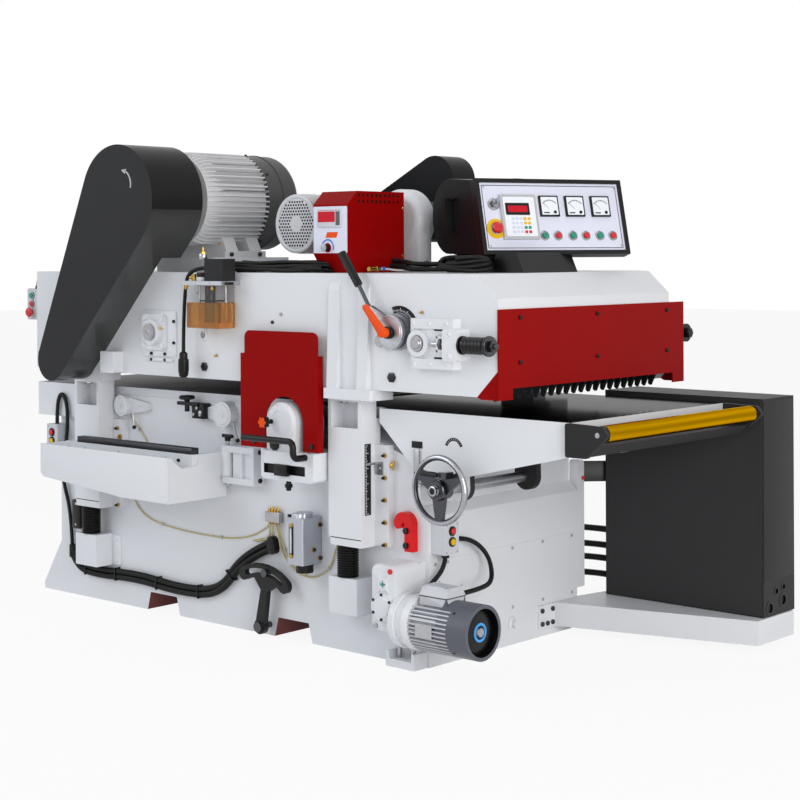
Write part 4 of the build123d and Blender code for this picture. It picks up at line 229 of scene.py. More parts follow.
white_paint = coated("white_paint", "light_paint", (228, 230, 234), 0.36, amount=0.25, shade=0.93)
charcoal = coated("charcoal_paint", "charcoal_paint", (48, 48, 49), 0.42, shade=0.8, Specular_IOR_Level=0.08)
# Lit and shaded copies of the belt guard's charcoal paint: the rim sides are darker as painted shade, and rim
# faces turned down towards the infeed are lighter as a painted reflection.
rim_painted_reflection = coated("rim_painted_reflection", "charcoal_paint",
                        (58, 58, 57), 0.14, shade=0.8, Specular_IOR_Level=0.5)
rim_painted_shade = coated("rim_painted_shade", "charcoal_paint", (36, 36, 36), 0.3, shade=0.8, Specular_IOR_Level=0.08)
cabinet_grey = coated("cabinet_paint", "cabinet_paint", (56, 56, 57),
                      0.46, shade=0.85, grain=0.12, grain_scale=420.0, Specular_IOR_Level=0.08)
red_paint = coated("red_paint", "red_paint", (148, 7, 7), 0.33, shade=0.85, Specular_IOR_Level=0.05)
hook_red = coated("hook_red", "hook_red", (222, 6, 10), 0.3, Specular_IOR_Level=0.3)
oxide = coated("fork_slot_oxide", "red_paint", (104, 44, 42), 0.7, scale=14.0)
# The polished steel's near-black specular tint dims its reflections, and the outfeed top is a matt darker
# grey. Both stand for the tables' dark reflections of the machine above: a painted dark reflection.
table_steel = metal("polished_table", "table_steel", (146, 146, 156), 0.09, (6.0, 900.0, 6.0),
                    shade=0.85, spread=0.05, grain=0.012, Specular_Tint=(0.05, 0.05, 0.06, 1.0))
bed_plate_painted_reflection = coated("bed_plate_painted_reflection", "table_steel", (104, 104, 112), 0.4, Specular_IOR_Level=0.03)
tool_steel = metal("bare_steel", "tool_steel", (176, 176, 180), 0.3, (60.0, 60.0, 400.0))
dark_steel = metal("dark_steel", "tool_steel", (92, 92, 96), 0.36, (400.0, 40.0, 400.0))
chrome = metal("chrome", "chrome", (176, 177, 182), 0.12, (80.0, 80.0, 80.0), spread=0.06)
wheel_alloy = metal("wheel_alloy", "chrome", (176, 178, 184), 0.26, (120.0, 30.0, 120.0))
alloy = metal("grey_alloy", "grey_aluminium", (188, 190, 196), 0.38, (90.0, 90.0, 90.0))
brass = metal("brass", "gold_anodised", (196, 158, 78), 0.28, (150.0, 150.0, 150.0))
# The roller's broad light and dark bands round its axis are painted reflections, made with the brushed lines
# stretched wide. The gold colour itself is the roller's own.
gold = metal("gold_roller_painted_reflections", "gold_anodised", (214, 160, 12), 0.16, (52.0, 0.4, 52.0), shade=0.3, spread=0.25,
             Specular_Tint=(0.8, 0.6, 0.1, 1.0))
motor_paint = coated("motor_paint", "grey_aluminium", (224, 224, 226), 0.42, shade=0.9)
cap_grey = coated("cap_grey", "grey_aluminium", (206, 207, 210), 0.42, shade=0.92)
cowl_dark = coated("cowl_dark", "charcoal_paint", (80, 80, 80), 0.4, Specular_IOR_Level=0.2)
gear_silver = coated("gear_motor_silver", "grey_aluminium", (192, 193, 199), 0.36, metallic=0.15)
slate = coated("slate_cowl", "grey_aluminium", (96, 99, 108), 0.36, Specular_IOR_Level=0.2)
hammered = coated("hammered_silver", "grey_aluminium", (180, 183, 192),
                  0.35, scale=60.0, grain=0.5, grain_scale=130.0, metallic=0.7)
cast_black = coated("cast_black", "cast_black", (24, 24, 25),
                    0.45, grain=0.25, grain_scale=260.0, Specular_IOR_Level=0.25)
rear_black = coated("rear_black", "cast_black", (17, 17, 19), 0.34, Specular_IOR_Level=0.12)
black_plastic = coated("black_plastic", "black_plastic", (16, 16, 17), 0.3, Specular_IOR_Level=0.25)
black_rubber = coated("black_rubber", "black_rubber", (15, 15, 16), 0.42, grain=0.15, Specular_IOR_Level=0.22)
pad_rubber = coated("pad_rubber", "black_rubber", (38, 38, 41), 0.62, Specular_IOR_Level=0.2)
grey_plastic = coated("grey_plastic", "grey_plastic", (208, 210, 216), 0.4)
orange = coated("orange_plastic", "orange_plastic", (238, 80, 8), 0.38, Specular_IOR_Level=0.2)
red_plastic = coated("red_plastic", "red_plastic", (208, 16, 28), 0.26, Coat_Weight=0.2)
green_plastic = coated("green_plastic", "green_plastic", (6, 142, 112), 0.26, Coat_Weight=0.2)
yellow_plastic = coated("yellow_plastic", "yellow_plastic", (238, 190, 12), 0.3, Specular_IOR_Level=0.3)
panel_face = coated("panel_face", "grey_plastic", (226, 228, 244), 0.3, grain=0.0)
meter_white = coated("meter_white", "grey_plastic", (240, 244, 250), 0.3, grain=0.0)
pale_key = coated("pale_key", "grey_plastic", (214, 220, 240), 0.4)
display_red = coated("display_red", "red_plastic", (204, 16, 40), 0.2, grain=0.0, Specular_IOR_Level=0.2)
fan_blue = coated("fan_blue", "charcoal_paint", (60, 160, 235), 0.3, grain=0.0)
mark_grey = coated("mark_grey", "grey_plastic", (186, 187, 190), 0.5, grain=0.0)
black_screw = metal("black_screw", "cast_black", (58, 58, 61), 0.34, (200.0, 200.0, 200.0))
wheel_dark = metal("wheel_spokes", "cast_black", (84, 85, 90), 0.3, (120.0, 30.0, 120.0))
blue_mark = coated("blue_mark", "charcoal_paint", (30, 120, 210), 0.35)
# The swing arm's steel rail is coloured dark: painted shade, as it is seen on its own shadowed side.
rail_painted_shade = metal("rail_painted_shade", "tool_steel", (84, 85, 88),
                   0.32, (6.0, 400.0, 400.0), Specular_Tint=(0.4, 0.4, 0.4, 1.0))
clear_plastic = coated("clear_plastic", "amber_plastic", (236, 236, 236),
                       0.06, grain=0.0, amount=0.1, IOR=1.12, Transmission_Weight=0.95)
amber_oil = coated("amber_oil", "amber_plastic", (236, 168, 62), 0.08, grain=0.0, amount=0.3,
                   scale=14.0, shade=0.7, Transmission_Weight=0.8, IOR=1.1, Specular_IOR_Level=0.2)
oil_tube = coated("oil_tube", "amber_plastic", (222, 210, 160), 0.25, Transmission_Weight=0.3, IOR=1.3)


# Axes and faces that several pieces share, in mm
HEAD_SIDE = -515.0
BED_SIDE = -409.0
WHEEL_X = 1115.0
WHEEL_Z = 603.0
GEAR_Y = -510.0
GEAR_Z = 176.0
DIAL = (945.0, 1096.0)


# Looks of the CAD nodes
def paint(name, base, *rules):
    """Gives a node its material, then repaints faces by (material, test) rules on place in mm and facing."""
    data = nodes[name].data
    data.materials.clear()
    data.materials.append(base)
    for material, _ in rules:
        data.materials.append(material)
    for face in data.polygons:
        middle = face.center / MM
        face.material_index = 0
        for index, (_, test) in enumerate(rules, start=1):
            if test(middle, face.normal):
                face.material_index = index


def within(x=None, y=None, z=None):
    """Test for faces whose centre lies in the given mm spans."""
    spans = [(axis, span) for axis, span in enumerate((x, y, z)) if span is not None]
    return lambda p, n: all(low <= p[axis] <= high for axis, (low, high) in spans)


def top_face(p, n):
    """Test for the working face of a table."""
    return n.z > 0.9 and p.z > 830


def head_boss(x, z, radius):
    """Test for faces of a round boss on the head's operator side."""
    return lambda p, n: p.y < HEAD_SIDE - 0.5 and math.hypot(p.x - x, p.z - z) < radius


def from_wheel(p):
    """Distance from the handwheel's axis."""
    return math.hypot(p.x - WHEEL_X, p.z - WHEEL_Z)


def from_gear(p):
    """Distance from the gear motor's axis."""
    return math.hypot(p.y - GEAR_Y, p.z - GEAR_Z)


paint("base_frame", white_paint,
      (oxide, lambda p, n: 250 < abs(p.x) < 445 and p.z < 69 and abs(n.y) < 0.5),
      (tool_steel, within((35, 57), (-451, -429), (550.6, 639.4))),
      (dark_steel, within((200, 300), (-480, -410), (20, 260))))
paint("lift_guides", tool_steel, (white_paint, within(z=(100, 268.5))),
      (white_paint, lambda p, n: abs(p.y) < 437 and 379 < p.z < 716
       and not (612 < abs(p.x) < 762 and p.z > 409)),
      (white_paint, lambda p, n: 762 < p.x < 823 or -612 < p.x < -551))
# Outfeed top in matt dark grey: a painted dark reflection.
paint("outfeed_table", white_paint, (bed_plate_painted_reflection, top_face))
paint("infeed_table", white_paint, (table_steel, top_face),
      (charcoal, lambda p, n: p.x > 1553.5 and (abs(p.y) > 436.5 or p.x > 1563)),
      (charcoal, lambda p, n: 1040 < p.x < 1190 and p.z < 720
       and (-423.9 < p.y < -399.9 or -78.1 < p.y < -51.9)))
paint("infeed_roller", gold, (tool_steel, lambda p, n: abs(p.y) > 423))
paint("handwheel", wheel_dark, (wheel_alloy, lambda p, n: from_wheel(p) > 100),
      (tool_steel, lambda p, n: p.y > -484))
paint("lower_carriage", white_paint, (black_plastic, lambda p, n: p.y < -575 and p.z > 640),
      (black_plastic, lambda p, n: p.x > 545 and p.y < -560.5),
      (black_rubber, lambda p, n: 359 < p.x < 559 and 601 < p.z < 635 and p.y < -500))
paint("carriage_knob", black_plastic, (orange, lambda p, n: n.y < -0.9 and p.y < -611))
paint("swing_arm", white_paint, (tool_steel, lambda p, n: p.z > 636.5 and p.y < -540 and p.x < -15))
paint("lift_gear_motor", gear_silver,
      (white_paint, lambda p, n: p.x < 985),
      (slate, lambda p, n: p.x > 1158.5),
      (black_plastic, lambda p, n: 1200 < p.x < 1281 and from_gear(p) < 80),
      (grey_plastic, lambda p, n: p.z > 263 and p.x > 1000))
paint("hand_oiler", hammered, (black_plastic, lambda p, n: p.z < 285.5 or (p.y < -504.5 and p.x < 444)),
      (alloy, lambda p, n: p.z > 446.5))
paint("pump_lever", tool_steel, (black_plastic, lambda p, n: p.z > 382))
paint("electrical_cabinet", cabinet_grey,
      (black_plastic, lambda p, n: p.x > 1660 and 520 < p.y < 665 and p.z < 220 and n.x < 0.99))
paint("head_frame", white_paint, (alloy, head_boss(*DIAL, 61)), (tool_steel, head_boss(877, 1066, 22)))
paint("take_up_blocks", white_paint, (dark_steel, lambda p, n: p.x > 1236.5))
# Rim faces get painted shade; rim faces turned down towards the infeed get a painted reflection.
paint("belt_guard", charcoal, (rim_painted_shade, lambda p, n: abs(n.y) < 0.5),
      (rim_painted_reflection, lambda p, n: abs(n.y) < 0.5 and n.x > 0.3 and n.z < -0.2))
paint("main_motor", motor_paint, (cowl_dark, lambda p, n: p.y > -72.5 and p.z > 1362))
paint("rear_drive", rear_black, (white_paint, within((430, 700), (-111, -19))))
paint("lubricator", clear_plastic,
      (alloy, lambda p, n: 1239.5 < p.z < 1254.5),
      (charcoal, lambda p, n: p.z > 1254.5),
      (alloy, lambda p, n: p.z > 1254.5 and p.x < 85))
paint("crank_lever", alloy, (dark_steel, lambda p, n: p.z > 1162), (black_plastic, lambda p, n: p.z > 1236))
PLAIN_NODES = (
    (white_paint, ("cabinet_shelf", "head_columns")),
    (red_paint, ("lower_guard", "hood_front", "speed_box")),
    (hook_red, ("tool_hook",)),
    (cap_grey, ("track_motor",)),
    (tool_steel, ("lower_cutterhead", "upper_cutterhead", "track_drive_shaft", "track_idler_shaft")),
    (cast_black, ("tension_quadrant", "antikick_fingers", "motor_pulley")),
    (chrome, ("key_switch",)),
    (pad_rubber, ("feed_track",)),
    (black_plastic, ("wheel_grip", "speed_knob")),
    (grey_plastic, ("base_button_boxes", "head_button_box")),
    (orange, ("clamp_lever",)),
    (green_plastic, ("head_start", "panel_start_1", "panel_start_2", "panel_start_3")),
    (red_plastic, ("head_stop", "head_mushroom", "panel_mushroom", "left_red_button", "right_red_button",
                   "panel_stop_1", "panel_stop_2", "panel_stop_3")),
    (yellow_plastic, ("left_yellow_button", "right_yellow_button")),
)
for material, names in PLAIN_NODES:
    for name in names:
        paint(name, material)

# Control panel plane: across, up and out of its face
PANEL_MIDDLE = Vector((1165.0, 20.0, 1470.0))
PANEL_ACROSS = Vector((0.4067, 0.9135, 0.0))
PANEL_UP = Vector((-0.2364, 0.1053, 0.9659))
PANEL_OUT = Vector((0.8824, -0.3929, 0.2588))
PANEL_WIDTH = 560.0
PANEL_HEIGHT = 262.0
PANEL_RECESS = 6.0
PANEL_FRAME = 14.0
PANEL_RAISED = -5.5
METERS = (-13.0, 86.0, 186.0)
METER_UP = 36.0


def frame_of(origin, across, up, out):
    """Matrix that carries local across, up and out directions to a plane of the model."""
    place = Matrix((across, up, out)).transposed().to_4x4()
    place.translation = origin
    return place


def panel_local(p):
    """Across, up and out of a point in mm, from the panel's middle."""
    offset = p - PANEL_MIDDLE
    return offset.dot(PANEL_ACROSS), offset.dot(PANEL_UP), offset.dot(PANEL_OUT)


def on_panel_face(p, n):
    """Test for the recessed face."""
    out = panel_local(p)[2]
    return abs(out + PANEL_RECESS) < 0.6 and n.dot(PANEL_OUT) > 0.9


def on_keypad(p, n):
    """Test for the keypad unit that stands on the face."""
    across, up, out = panel_local(p)
    return out > PANEL_RAISED and -203 < across < -60 and abs(up) < 90


def on_button_ring(p, n):
    """Test for the rings of the push buttons."""
    across, up, out = panel_local(p)
    return out > PANEL_RAISED and up < -40 and across > -60 and abs(up) < 100


paint("control_panel", black_plastic, (panel_face, on_panel_face),
      (grey_plastic, on_keypad), (chrome, on_button_ring))


# Shapes for the added pieces, in millimetres
FRONT = (0, -1, 0)
BACK = (0, 1, 0)
INFEED = (1, 0, 0)
UP = (0, 0, 1)
DOWN = (0, 0, -1)


def polar(angle, radius=1.0):
    """Across and up of a point at an angle in degrees."""
    return radius * math.cos(math.radians(angle)), radius * math.sin(math.radians(angle))


def stood(part, point, axis):
    """Shape made about +Z, moved to a point with its axis along a direction."""
    place = Matrix.Translation(point) @ Vector(axis).to_track_quat("Z", "Y").to_matrix().to_4x4()
    bmesh.ops.transform(part, matrix=place, verts=part.verts)
    return part


def round_edges(part, edges, radius):
    """Rounds edges of a shape in two steps."""
    bmesh.ops.bevel(part, geom=edges, offset=radius, segments=2, profile=0.5, affect="EDGES", material=-1)


def cuboid(x, y, z, bevel=0.0):
    """Box between three (low, high) spans, with rounded edges."""
    part = bmesh.new()
    bmesh.ops.create_cube(part, size=1.0)
    bmesh.ops.scale(part, vec=[span[1] - span[0] for span in (x, y, z)], verts=part.verts)
    bmesh.ops.translate(part, vec=[(span[0] + span[1]) / 2 for span in (x, y, z)], verts=part.verts)
    if bevel > 0:
        round_edges(part, part.edges[:], bevel)
    return part


def rod(start, end, radius, tip=None, sides=24, bevel=0.0):
    """Round bar or cone between two points."""
    part = bmesh.new()
    start = Vector(start)
    axis = Vector(end) - start
    far = radius if tip is None else tip
    bmesh.ops.create_cone(part, cap_ends=True, segments=sides, radius1=radius, radius2=far, depth=axis.length)
    if bevel > 0:
        rims = [edge for edge in part.edges if edge.calc_face_angle() > 1.0]
        round_edges(part, rims, bevel)
    return stood(part, start + axis / 2, axis)


def upright(x, y, low, high, radius, **finish):
    """Round bar or cone that stands on end."""
    return rod((x, y, low), (x, y, high), radius, **finish)


def turned(profile, origin=(0, 0, 0), axis=UP, sides=32):
    """Profile of (radius, height) points spun about an axis."""
    part = bmesh.new()
    verts = [part.verts.new((radius, 0, height)) for radius, height in profile]
    edges = [part.edges.new(pair) for pair in zip(verts, verts[1:])]
    bmesh.ops.spin(part, geom=verts + edges, cent=(0, 0, 0), axis=UP, angle=2 * math.pi, steps=sides,
                   use_merge=True)
    bmesh.ops.remove_doubles(part, verts=part.verts, dist=0.001)
    return stood(part, origin, axis)


def slab(points, low, high, place=None, bevel=0.0):
    """Flat outline given a thickness; the outline lies in the place's across-up plane."""
    part = bmesh.new()
    face = part.faces.new([part.verts.new((across, up, low)) for across, up in points])
    grown = bmesh.ops.extrude_face_region(part, geom=[face])["geom"]
    raised = [item for item in grown if isinstance(item, bmesh.types.BMVert)]
    bmesh.ops.translate(part, vec=(0, 0, high - low), verts=raised)
    if bevel > 0:
        rims = [edge for edge in part.edges if all(abs(vert.co.z - high) < 0.01 for vert in edge.verts)]
        round_edges(part, rims, bevel)
    if place is not None:
        bmesh.ops.transform(part, matrix=place, verts=part.verts)
    return part


def rounded(across, up, corner, steps=5):
    """Rectangle outline between two spans with round corners."""
    points = []
    middles = ((across[1] - corner, up[1] - corner), (across[0] + corner, up[1] - corner),
               (across[0] + corner, up[0] + corner), (across[1] - corner, up[0] + corner))
    for quarter, (a, b) in enumerate(middles):
        for step in range(steps + 1):
            angle = math.radians(90 * quarter + 90 * step / steps)
            points.append((a + corner * math.cos(angle), b + corner * math.sin(angle)))
    return points


def oblong(across, up):
    """Rectangle outline between two spans."""
    return [(across[0], up[0]), (across[1], up[0]), (across[1], up[1]), (across[0], up[1])]


def circle(a, b, radius, sides):
    """Round outline about a point."""
    spokes = [polar(360 * step / sides, radius) for step in range(sides)]
    return [(a + across, b + up) for across, up in spokes]


def band(a, b, inner, outer, start, end, steps=24):
    """Outline of an arc strip between two angles in degrees."""
    angles = [math.radians(start + (end - start) * step / steps) for step in range(steps + 1)]
    far = [(a + outer * math.cos(angle), b + outer * math.sin(angle)) for angle in angles]
    near = [(a + inner * math.cos(angle), b + inner * math.sin(angle)) for angle in reversed(angles)]
    return far + near


def tapered(start, end, wide, slim):
    """Outline of a lever: a round end of each radius, joined by straight sides."""
    heading = math.atan2(end[1] - start[1], end[0] - start[0])
    points = []
    for (a, b), radius, first in ((end, slim, -90), (start, wide, 90)):
        for turn in range(0, 181, 18):
            angle = heading + math.radians(first + turn)
            points.append((a + radius * math.cos(angle), b + radius * math.sin(angle)))
    return points


def side_plane(y):
    """Plane facing the operator: across is +X, up is +Z."""
    return frame_of(Vector((0, y, 0)), Vector(INFEED), Vector(UP), Vector(FRONT))


def end_plane(x):
    """Plane facing the infeed end: across is +Y, up is +Z."""
    return frame_of(Vector((x, 0, 0)), Vector(BACK), Vector(UP), Vector(INFEED))


def panel_plane(out):
    """Plane parallel to the control panel, at a distance out of its front."""
    return frame_of(PANEL_MIDDLE + PANEL_OUT * out, PANEL_ACROSS, PANEL_UP, PANEL_OUT)


class Piece:
    """One named mesh that rides on a body, built from shapes in millimetres."""

    def __init__(self, name, body, material):
        self.name = name
        self.body = body
        self.materials = [material]
        self.mesh = bmesh.new()

    def add(self, part, material=None):
        """Adds a shape in the piece's first material, or in another."""
        if material and material not in self.materials:
            self.materials.append(material)
        look = self.materials.index(material) if material else 0
        bmesh.ops.recalc_face_normals(part, faces=part.faces)
        for face in part.faces:
            face.material_index = look
        shell = bpy.data.meshes.new("shell")
        part.to_mesh(shell)
        part.free()
        self.mesh.from_mesh(shell)
        bpy.data.meshes.remove(shell)

    def fix(self, shape, axis, radius, height, points, material=None):
        """Adds an equal fastener at each point."""
        for point in points:
            self.add(shape(point, axis, radius, height), material)

    def place(self):
        """Makes the mesh, without a body yet."""
        bmesh.ops.scale(self.mesh, vec=(MM, MM, MM), verts=self.mesh.verts)
        data = bpy.data.meshes.new(self.name)
        self.mesh.to_mesh(data)
        self.mesh.free()
        for material in self.materials:
            data.materials.append(material)
        data.shade_smooth()
        data.set_sharp_from_angle(angle=SMOOTH_ANGLE)
        obj = bpy.data.objects.new(self.name, data)
        scene.collection.objects.link(obj)
        return obj

    def done(self):
        """Makes the mesh and lets it ride on the piece's body."""
        obj = self.place()
        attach(obj, self.body)
        return obj


def socket_head(point, axis, radius, height):
    """Cap screw with its round socket."""
    profile = [(0, height * 0.45), (radius * 0.5, height * 0.45),
               (radius * 0.5, height), (radius * 0.86, height), (radius, height * 0.84), (radius, 0)]
    return turned(profile, point, axis, 16)


def pan_head(point, axis, radius, height):
    """Screw with a low domed head."""
    profile = [(0, height), (radius * 0.55, height * 0.92), (radius * 0.9, height * 0.5), (radius, 0)]
    return turned(profile, point, axis, 16)


def hex_head(point, axis, radius, height):
    """Bolt head with six sides and a broken edge."""
    profile = [(0, height), (radius * 0.8, height), (radius, height * 0.8), (radius, 0)]
    return turned(profile, point, axis, 6)


def ring(point, axis, inner, outer, height, sides=32):
    """Washer or collar standing on a point."""
    return turned([(inner, 0), (outer, 0), (outer, height), (inner, height), (inner, 0)], point, axis, sides)


def ball(point, radius):
    """Ball with its poles up and down."""
    return turned([polar(-90 + 22.5 * step, radius) for step in range(9)], point, UP, 16)


def nipple(point, axis):
    """Grease nipple with a hexagon foot and a round tip."""
    return turned([(0, 13), (2.4, 12.5), (3.4, 10), (2.2, 8), (5, 6), (5, 0)], point, axis, 8)


def knurled(point, axis, radius, height):
    """Grip cap with 18 ribs round its rim."""
    outline = [polar(10 * step, radius if step % 2 else radius * 0.93) for step in range(36)]
    return stood(slab(outline, 0, height, bevel=height * 0.12), point, axis)


def radial_fin(outline, half, middle, across, up):
    """Cooling fin whose outline runs along a motor's axis and stands out from it."""
    return slab(outline, -half, half, frame_of(Vector(middle), across, up, across.cross(up)))


def spots(*axes):
    """Points of a grid; each axis is one number or several."""
    return list(itertools.product(*(axis if isinstance(axis, tuple) else (axis,) for axis in axes)))


def fasteners(name, body, material, shape, axis, radius, height, points):
    """One piece holding many equal fasteners."""
    piece = Piece(name, body, material)
    piece.fix(shape, axis, radius, height, points)
    piece.done()


# Hoses and leads
def path_of(name, points):
    """NURBS path with a route's points in mm as its control points."""
    curve = bpy.data.curves.new(name, "CURVE")
    curve.dimensions = "3D"
    spline = curve.splines.new("NURBS")
    spline.points.add(len(points) - 1)
    for knot, point in zip(spline.points, points):
        knot.co = (*(value * MM for value in point), 1.0)
    spline.order_u = 3
    spline.use_endpoint_u = True
    curve.resolution_u = 10
    return curve


def lead(name, body, points, radius, material):
    """Smooth round cable along a route."""
    curve = path_of(name, points)
    curve.bevel_depth = radius * MM
    curve.bevel_resolution = 4
    curve.use_fill_caps = True
    curve.materials.append(material)
    obj = bpy.data.objects.new(name, curve)
    scene.collection.objects.link(obj)
    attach(obj, body)


def hose(name, body, points, radius, pitch=7.0):
    """Corrugated black conduit: one rib repeated along the route."""
    track = bpy.data.objects.new(name + "_track", path_of(name + "_track", points))
    scene.collection.objects.link(track)
    low = radius * 0.86
    part = turned([(low, 0), (radius, pitch * 0.22), (radius, pitch * 0.58),
                   (low, pitch * 0.8), (low, pitch)], axis=INFEED, sides=16)
    bmesh.ops.scale(part, vec=(MM, MM, MM), verts=part.verts)
    data = bpy.data.meshes.new(name + "_rib")
    part.to_mesh(data)
    part.free()
    rib = bpy.data.objects.new(name + "_rib", data)
    scene.collection.objects.link(rib)
    rows = rib.modifiers.new("ribs", "ARRAY")
    rows.fit_type = "FIT_CURVE"
    rows.curve = track
    rows.use_merge_vertices = True
    rows.merge_threshold = 0.0002
    bend = rib.modifiers.new("route", "CURVE")
    bend.object = track
    bpy.context.view_layer.update()
    shape = bpy.data.meshes.new_from_object(rib.evaluated_get(bpy.context.evaluated_depsgraph_get()))
    for helper in (rib, track):
        bpy.data.objects.remove(helper)
    shape.name = name
    shape.materials.clear()
    shape.materials.append(black_rubber)
    shape.shade_smooth()
    shape.set_sharp_from_angle(angle=HOSE_SMOOTH_ANGLE)
    obj = bpy.data.objects.new(name, shape)
    scene.collection.objects.link(obj)
    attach(obj, body)
    return obj


def line_of(points):
    """Points in metres along the smooth line of a route in mm."""
    track = bpy.data.objects.new("line", path_of("line", points))
    line = [vertex.co[:] for vertex in bpy.data.meshes.new_from_object(track).vertices]
    bpy.data.objects.remove(track)
    return line


def free_hose(name, body, points, radius, pitch):
    """Corrugated lead that stands free of the machine between its ends."""
    obj = hose(name, body, points, radius, pitch)
    line_of(points)


# Conduits, leads and oil tubes on the base
CONDUIT_Y = -423.0
CONDUIT_XZ = ((-884, 167), (-850, 112), (-726, 98), (-482, 112),
              (-237, 91), (-17, 108), (110, 256), (262, 313))
SECOND_XZ = [(x + 6, z + 22) for x, z in CONDUIT_XZ[:-2]] + [(98, 272), (254, 334)]
TIES = ((-788, 117, -5), (-604, 116, 3), (-360, 112, -5), (-127, 110, 4), (46, 192, 45))
OIL_Y = -412.5
OIL_XZ = ((-522, 440), (-496, 350), (-196, 315), (160, 322), (246, 404))
LEFT_LEAD_XZ = ((-947, 676), (-947, 752), (-922, 803), (-888, 780), (-876, 690), (-905, 520), (-944, 450),
                (-890, 320), (-884, 167))
LEFT_LEAD = [(x, -448 if z > 500 else CONDUIT_Y, z) for x, z in LEFT_LEAD_XZ]
RIGHT_LEAD = ((1004, -362, 370), (1004, -362, 330), (1014, -440, 285), (1030, -490, 278), (1061.9, -490, 278))
RIGHT_LOOP = ((1004, -326.9, 412), (1004, -250, 412), (1012, -150, 345), (1050, -170, 262), (1130, -330, 266),
              (1130, -463.9, 266))
STATION_LEAD = 8.0
LINK_Z = (342, 284, 236, 178)

base_conduit = hose("base_conduit", "base", [(x, CONDUIT_Y, z) for x, z in CONDUIT_XZ], 13.0)
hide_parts("base_lines")
hose("base_conduit_2", "base", [(x, CONDUIT_Y - 2, z) for x, z in SECOND_XZ], 11.0, 6.0)
lead("oil_line", "base", [(x, OIL_Y, z) for x, z in OIL_XZ], 3.0, oil_tube)
free_hose("left_station_lead", "base", LEFT_LEAD, STATION_LEAD, 5.0)
free_hose("right_station_lead", "base", RIGHT_LEAD, STATION_LEAD, 5.0)
free_hose("right_station_loop", "base", RIGHT_LOOP, STATION_LEAD, 5.0)
for number, z in enumerate(LINK_Z, start=1):
    route = ((900, 455, z), (900, 500, z), (960, 560, z - 8), (1031, 560, z - 8))
    hose(f"cabinet_conduit_{number}", "base", route, 12.0)

conduit_fittings = Piece("conduit_fittings", "base", black_plastic)
conduit_fittings.add(slab(tapered((260, 311), (256, 336), 20, 18), 0, 26, side_plane(BED_SIDE), 3))
conduit_fittings.add(upright(-884, CONDUIT_Y, 150, 200, 13, bevel=2))
for x, z, lean in TIES:
    tie = slab(rounded((-3, 3), (-25, 25), 2.5), -14, 14)
    place = Matrix.Translation((x, CONDUIT_Y - 1, z)) @ Matrix.Rotation(math.radians(-lean), 4, "Y")
    bmesh.ops.transform(tie, matrix=place @ Matrix.Rotation(math.pi / 2, 4, "X"), verts=tie.verts)
    conduit_fittings.add(tie)
conduit_fittings.done()

MANIFOLD_Y = -421.0
MANIFOLD_X = (242, 257, 272, 287)
manifold = Piece("oil_manifold", "base", tool_steel)
manifold.add(cuboid((228, 300), (-431, BED_SIDE), (404, 440), 2))
for x in MANIFOLD_X:
    manifold.add(hex_head((x, MANIFOLD_Y, 440), UP, 6.5, 7), brass)
    manifold.add(upright(x, MANIFOLD_Y, 446, 458, 4, tip=2.5, sides=12), brass)
    manifold.add(hex_head((x, MANIFOLD_Y, 404), DOWN, 6, 6), brass)
manifold.done()

# Bundles on the head and the lubricator's hanging lead
BUNDLE_Z = 1297
for number, (y, end) in enumerate(((-486, -456), (-462, -452)), start=1):
    route = ((120, y, BUNDLE_Z), (190, y - 4, BUNDLE_Z), (300, y + 5, BUNDLE_Z), (400, y - 4, BUNDLE_Z),
             (480, y + 3, BUNDLE_Z), (538, end, BUNDLE_Z))
    bundle = hose(f"head_bundle_{number}", "head", route, 11.0, 6.0)
    if number == 1:
        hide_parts("head_cables")
LUBE_LEAD = ((92, -568, 1300), (6, -568, 1300), (-42, -568, 1240), (-45, -568, 1000))
PLUG_FOOT = (-45, -568, 0)
plug = Piece("lubricator_plug", "head", black_plastic)
plug.add(turned([(0, 908), (10, 908), (16, 914), (19, 930),
                 (19, 972), (15, 976), (15, 994), (9, 1000), (0, 1000)], PLUG_FOOT, UP, 16))
for z in (936, 944, 952, 960):
    plug.add(turned([(18.6, z - 2), (20.4, z - 1), (20.4, z + 1), (18.6, z + 2)], PLUG_FOOT, UP, 16))
plug = plug.done()
free_hose("lubricator_lead", "head", LUBE_LEAD, 7.0, 4.0)

# Bellows over the lift screws
BELLOWS_LOW = 268.0
BELLOWS_HIGH = 377.0
BELLOWS_FOLDS = 13
fold = (BELLOWS_HIGH - BELLOWS_LOW) / BELLOWS_FOLDS
profile = [(31, BELLOWS_LOW)]
for index in range(BELLOWS_FOLDS):
    start = BELLOWS_LOW + fold * index
    profile += [(33, start + fold * 0.08), (37, start + fold * 0.4), (37, start + fold * 0.6),
                (33, start + fold * 0.92)]
profile.append((31, BELLOWS_HIGH))
bellows = Piece("lift_bellows", "base", black_rubber)
for foot in spots((665, -709), (-465.5, 465.5), 0):
    bellows.add(turned(profile, foot, UP, 32))
bellows = bellows.place()
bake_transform(bellows)
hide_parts("screw_bellows")


# Take-up spring of the feed track
def coil(x, y, z, radius, wire, turns, pitch):
    """Spring of round wire along the feed line."""
    part = bmesh.new()
    bmesh.ops.create_circle(part, segments=10, radius=wire)
    stand = Matrix.Translation((0, radius, 0)) @ Matrix.Rotation(math.pi / 2, 4, "Y")
    bmesh.ops.transform(part, matrix=stand @ Matrix.Rotation(math.pi / 2, 4, "X"), verts=part.verts)
    steps = 28 * turns
    bmesh.ops.spin(part, geom=part.verts[:] + part.edges[:], cent=(0, 0, 0),
                   axis=INFEED, angle=2 * math.pi * turns, steps=steps, dvec=(pitch * turns / steps, 0, 0))
    bmesh.ops.translate(part, vec=(x, y, z), verts=part.verts)
    return part


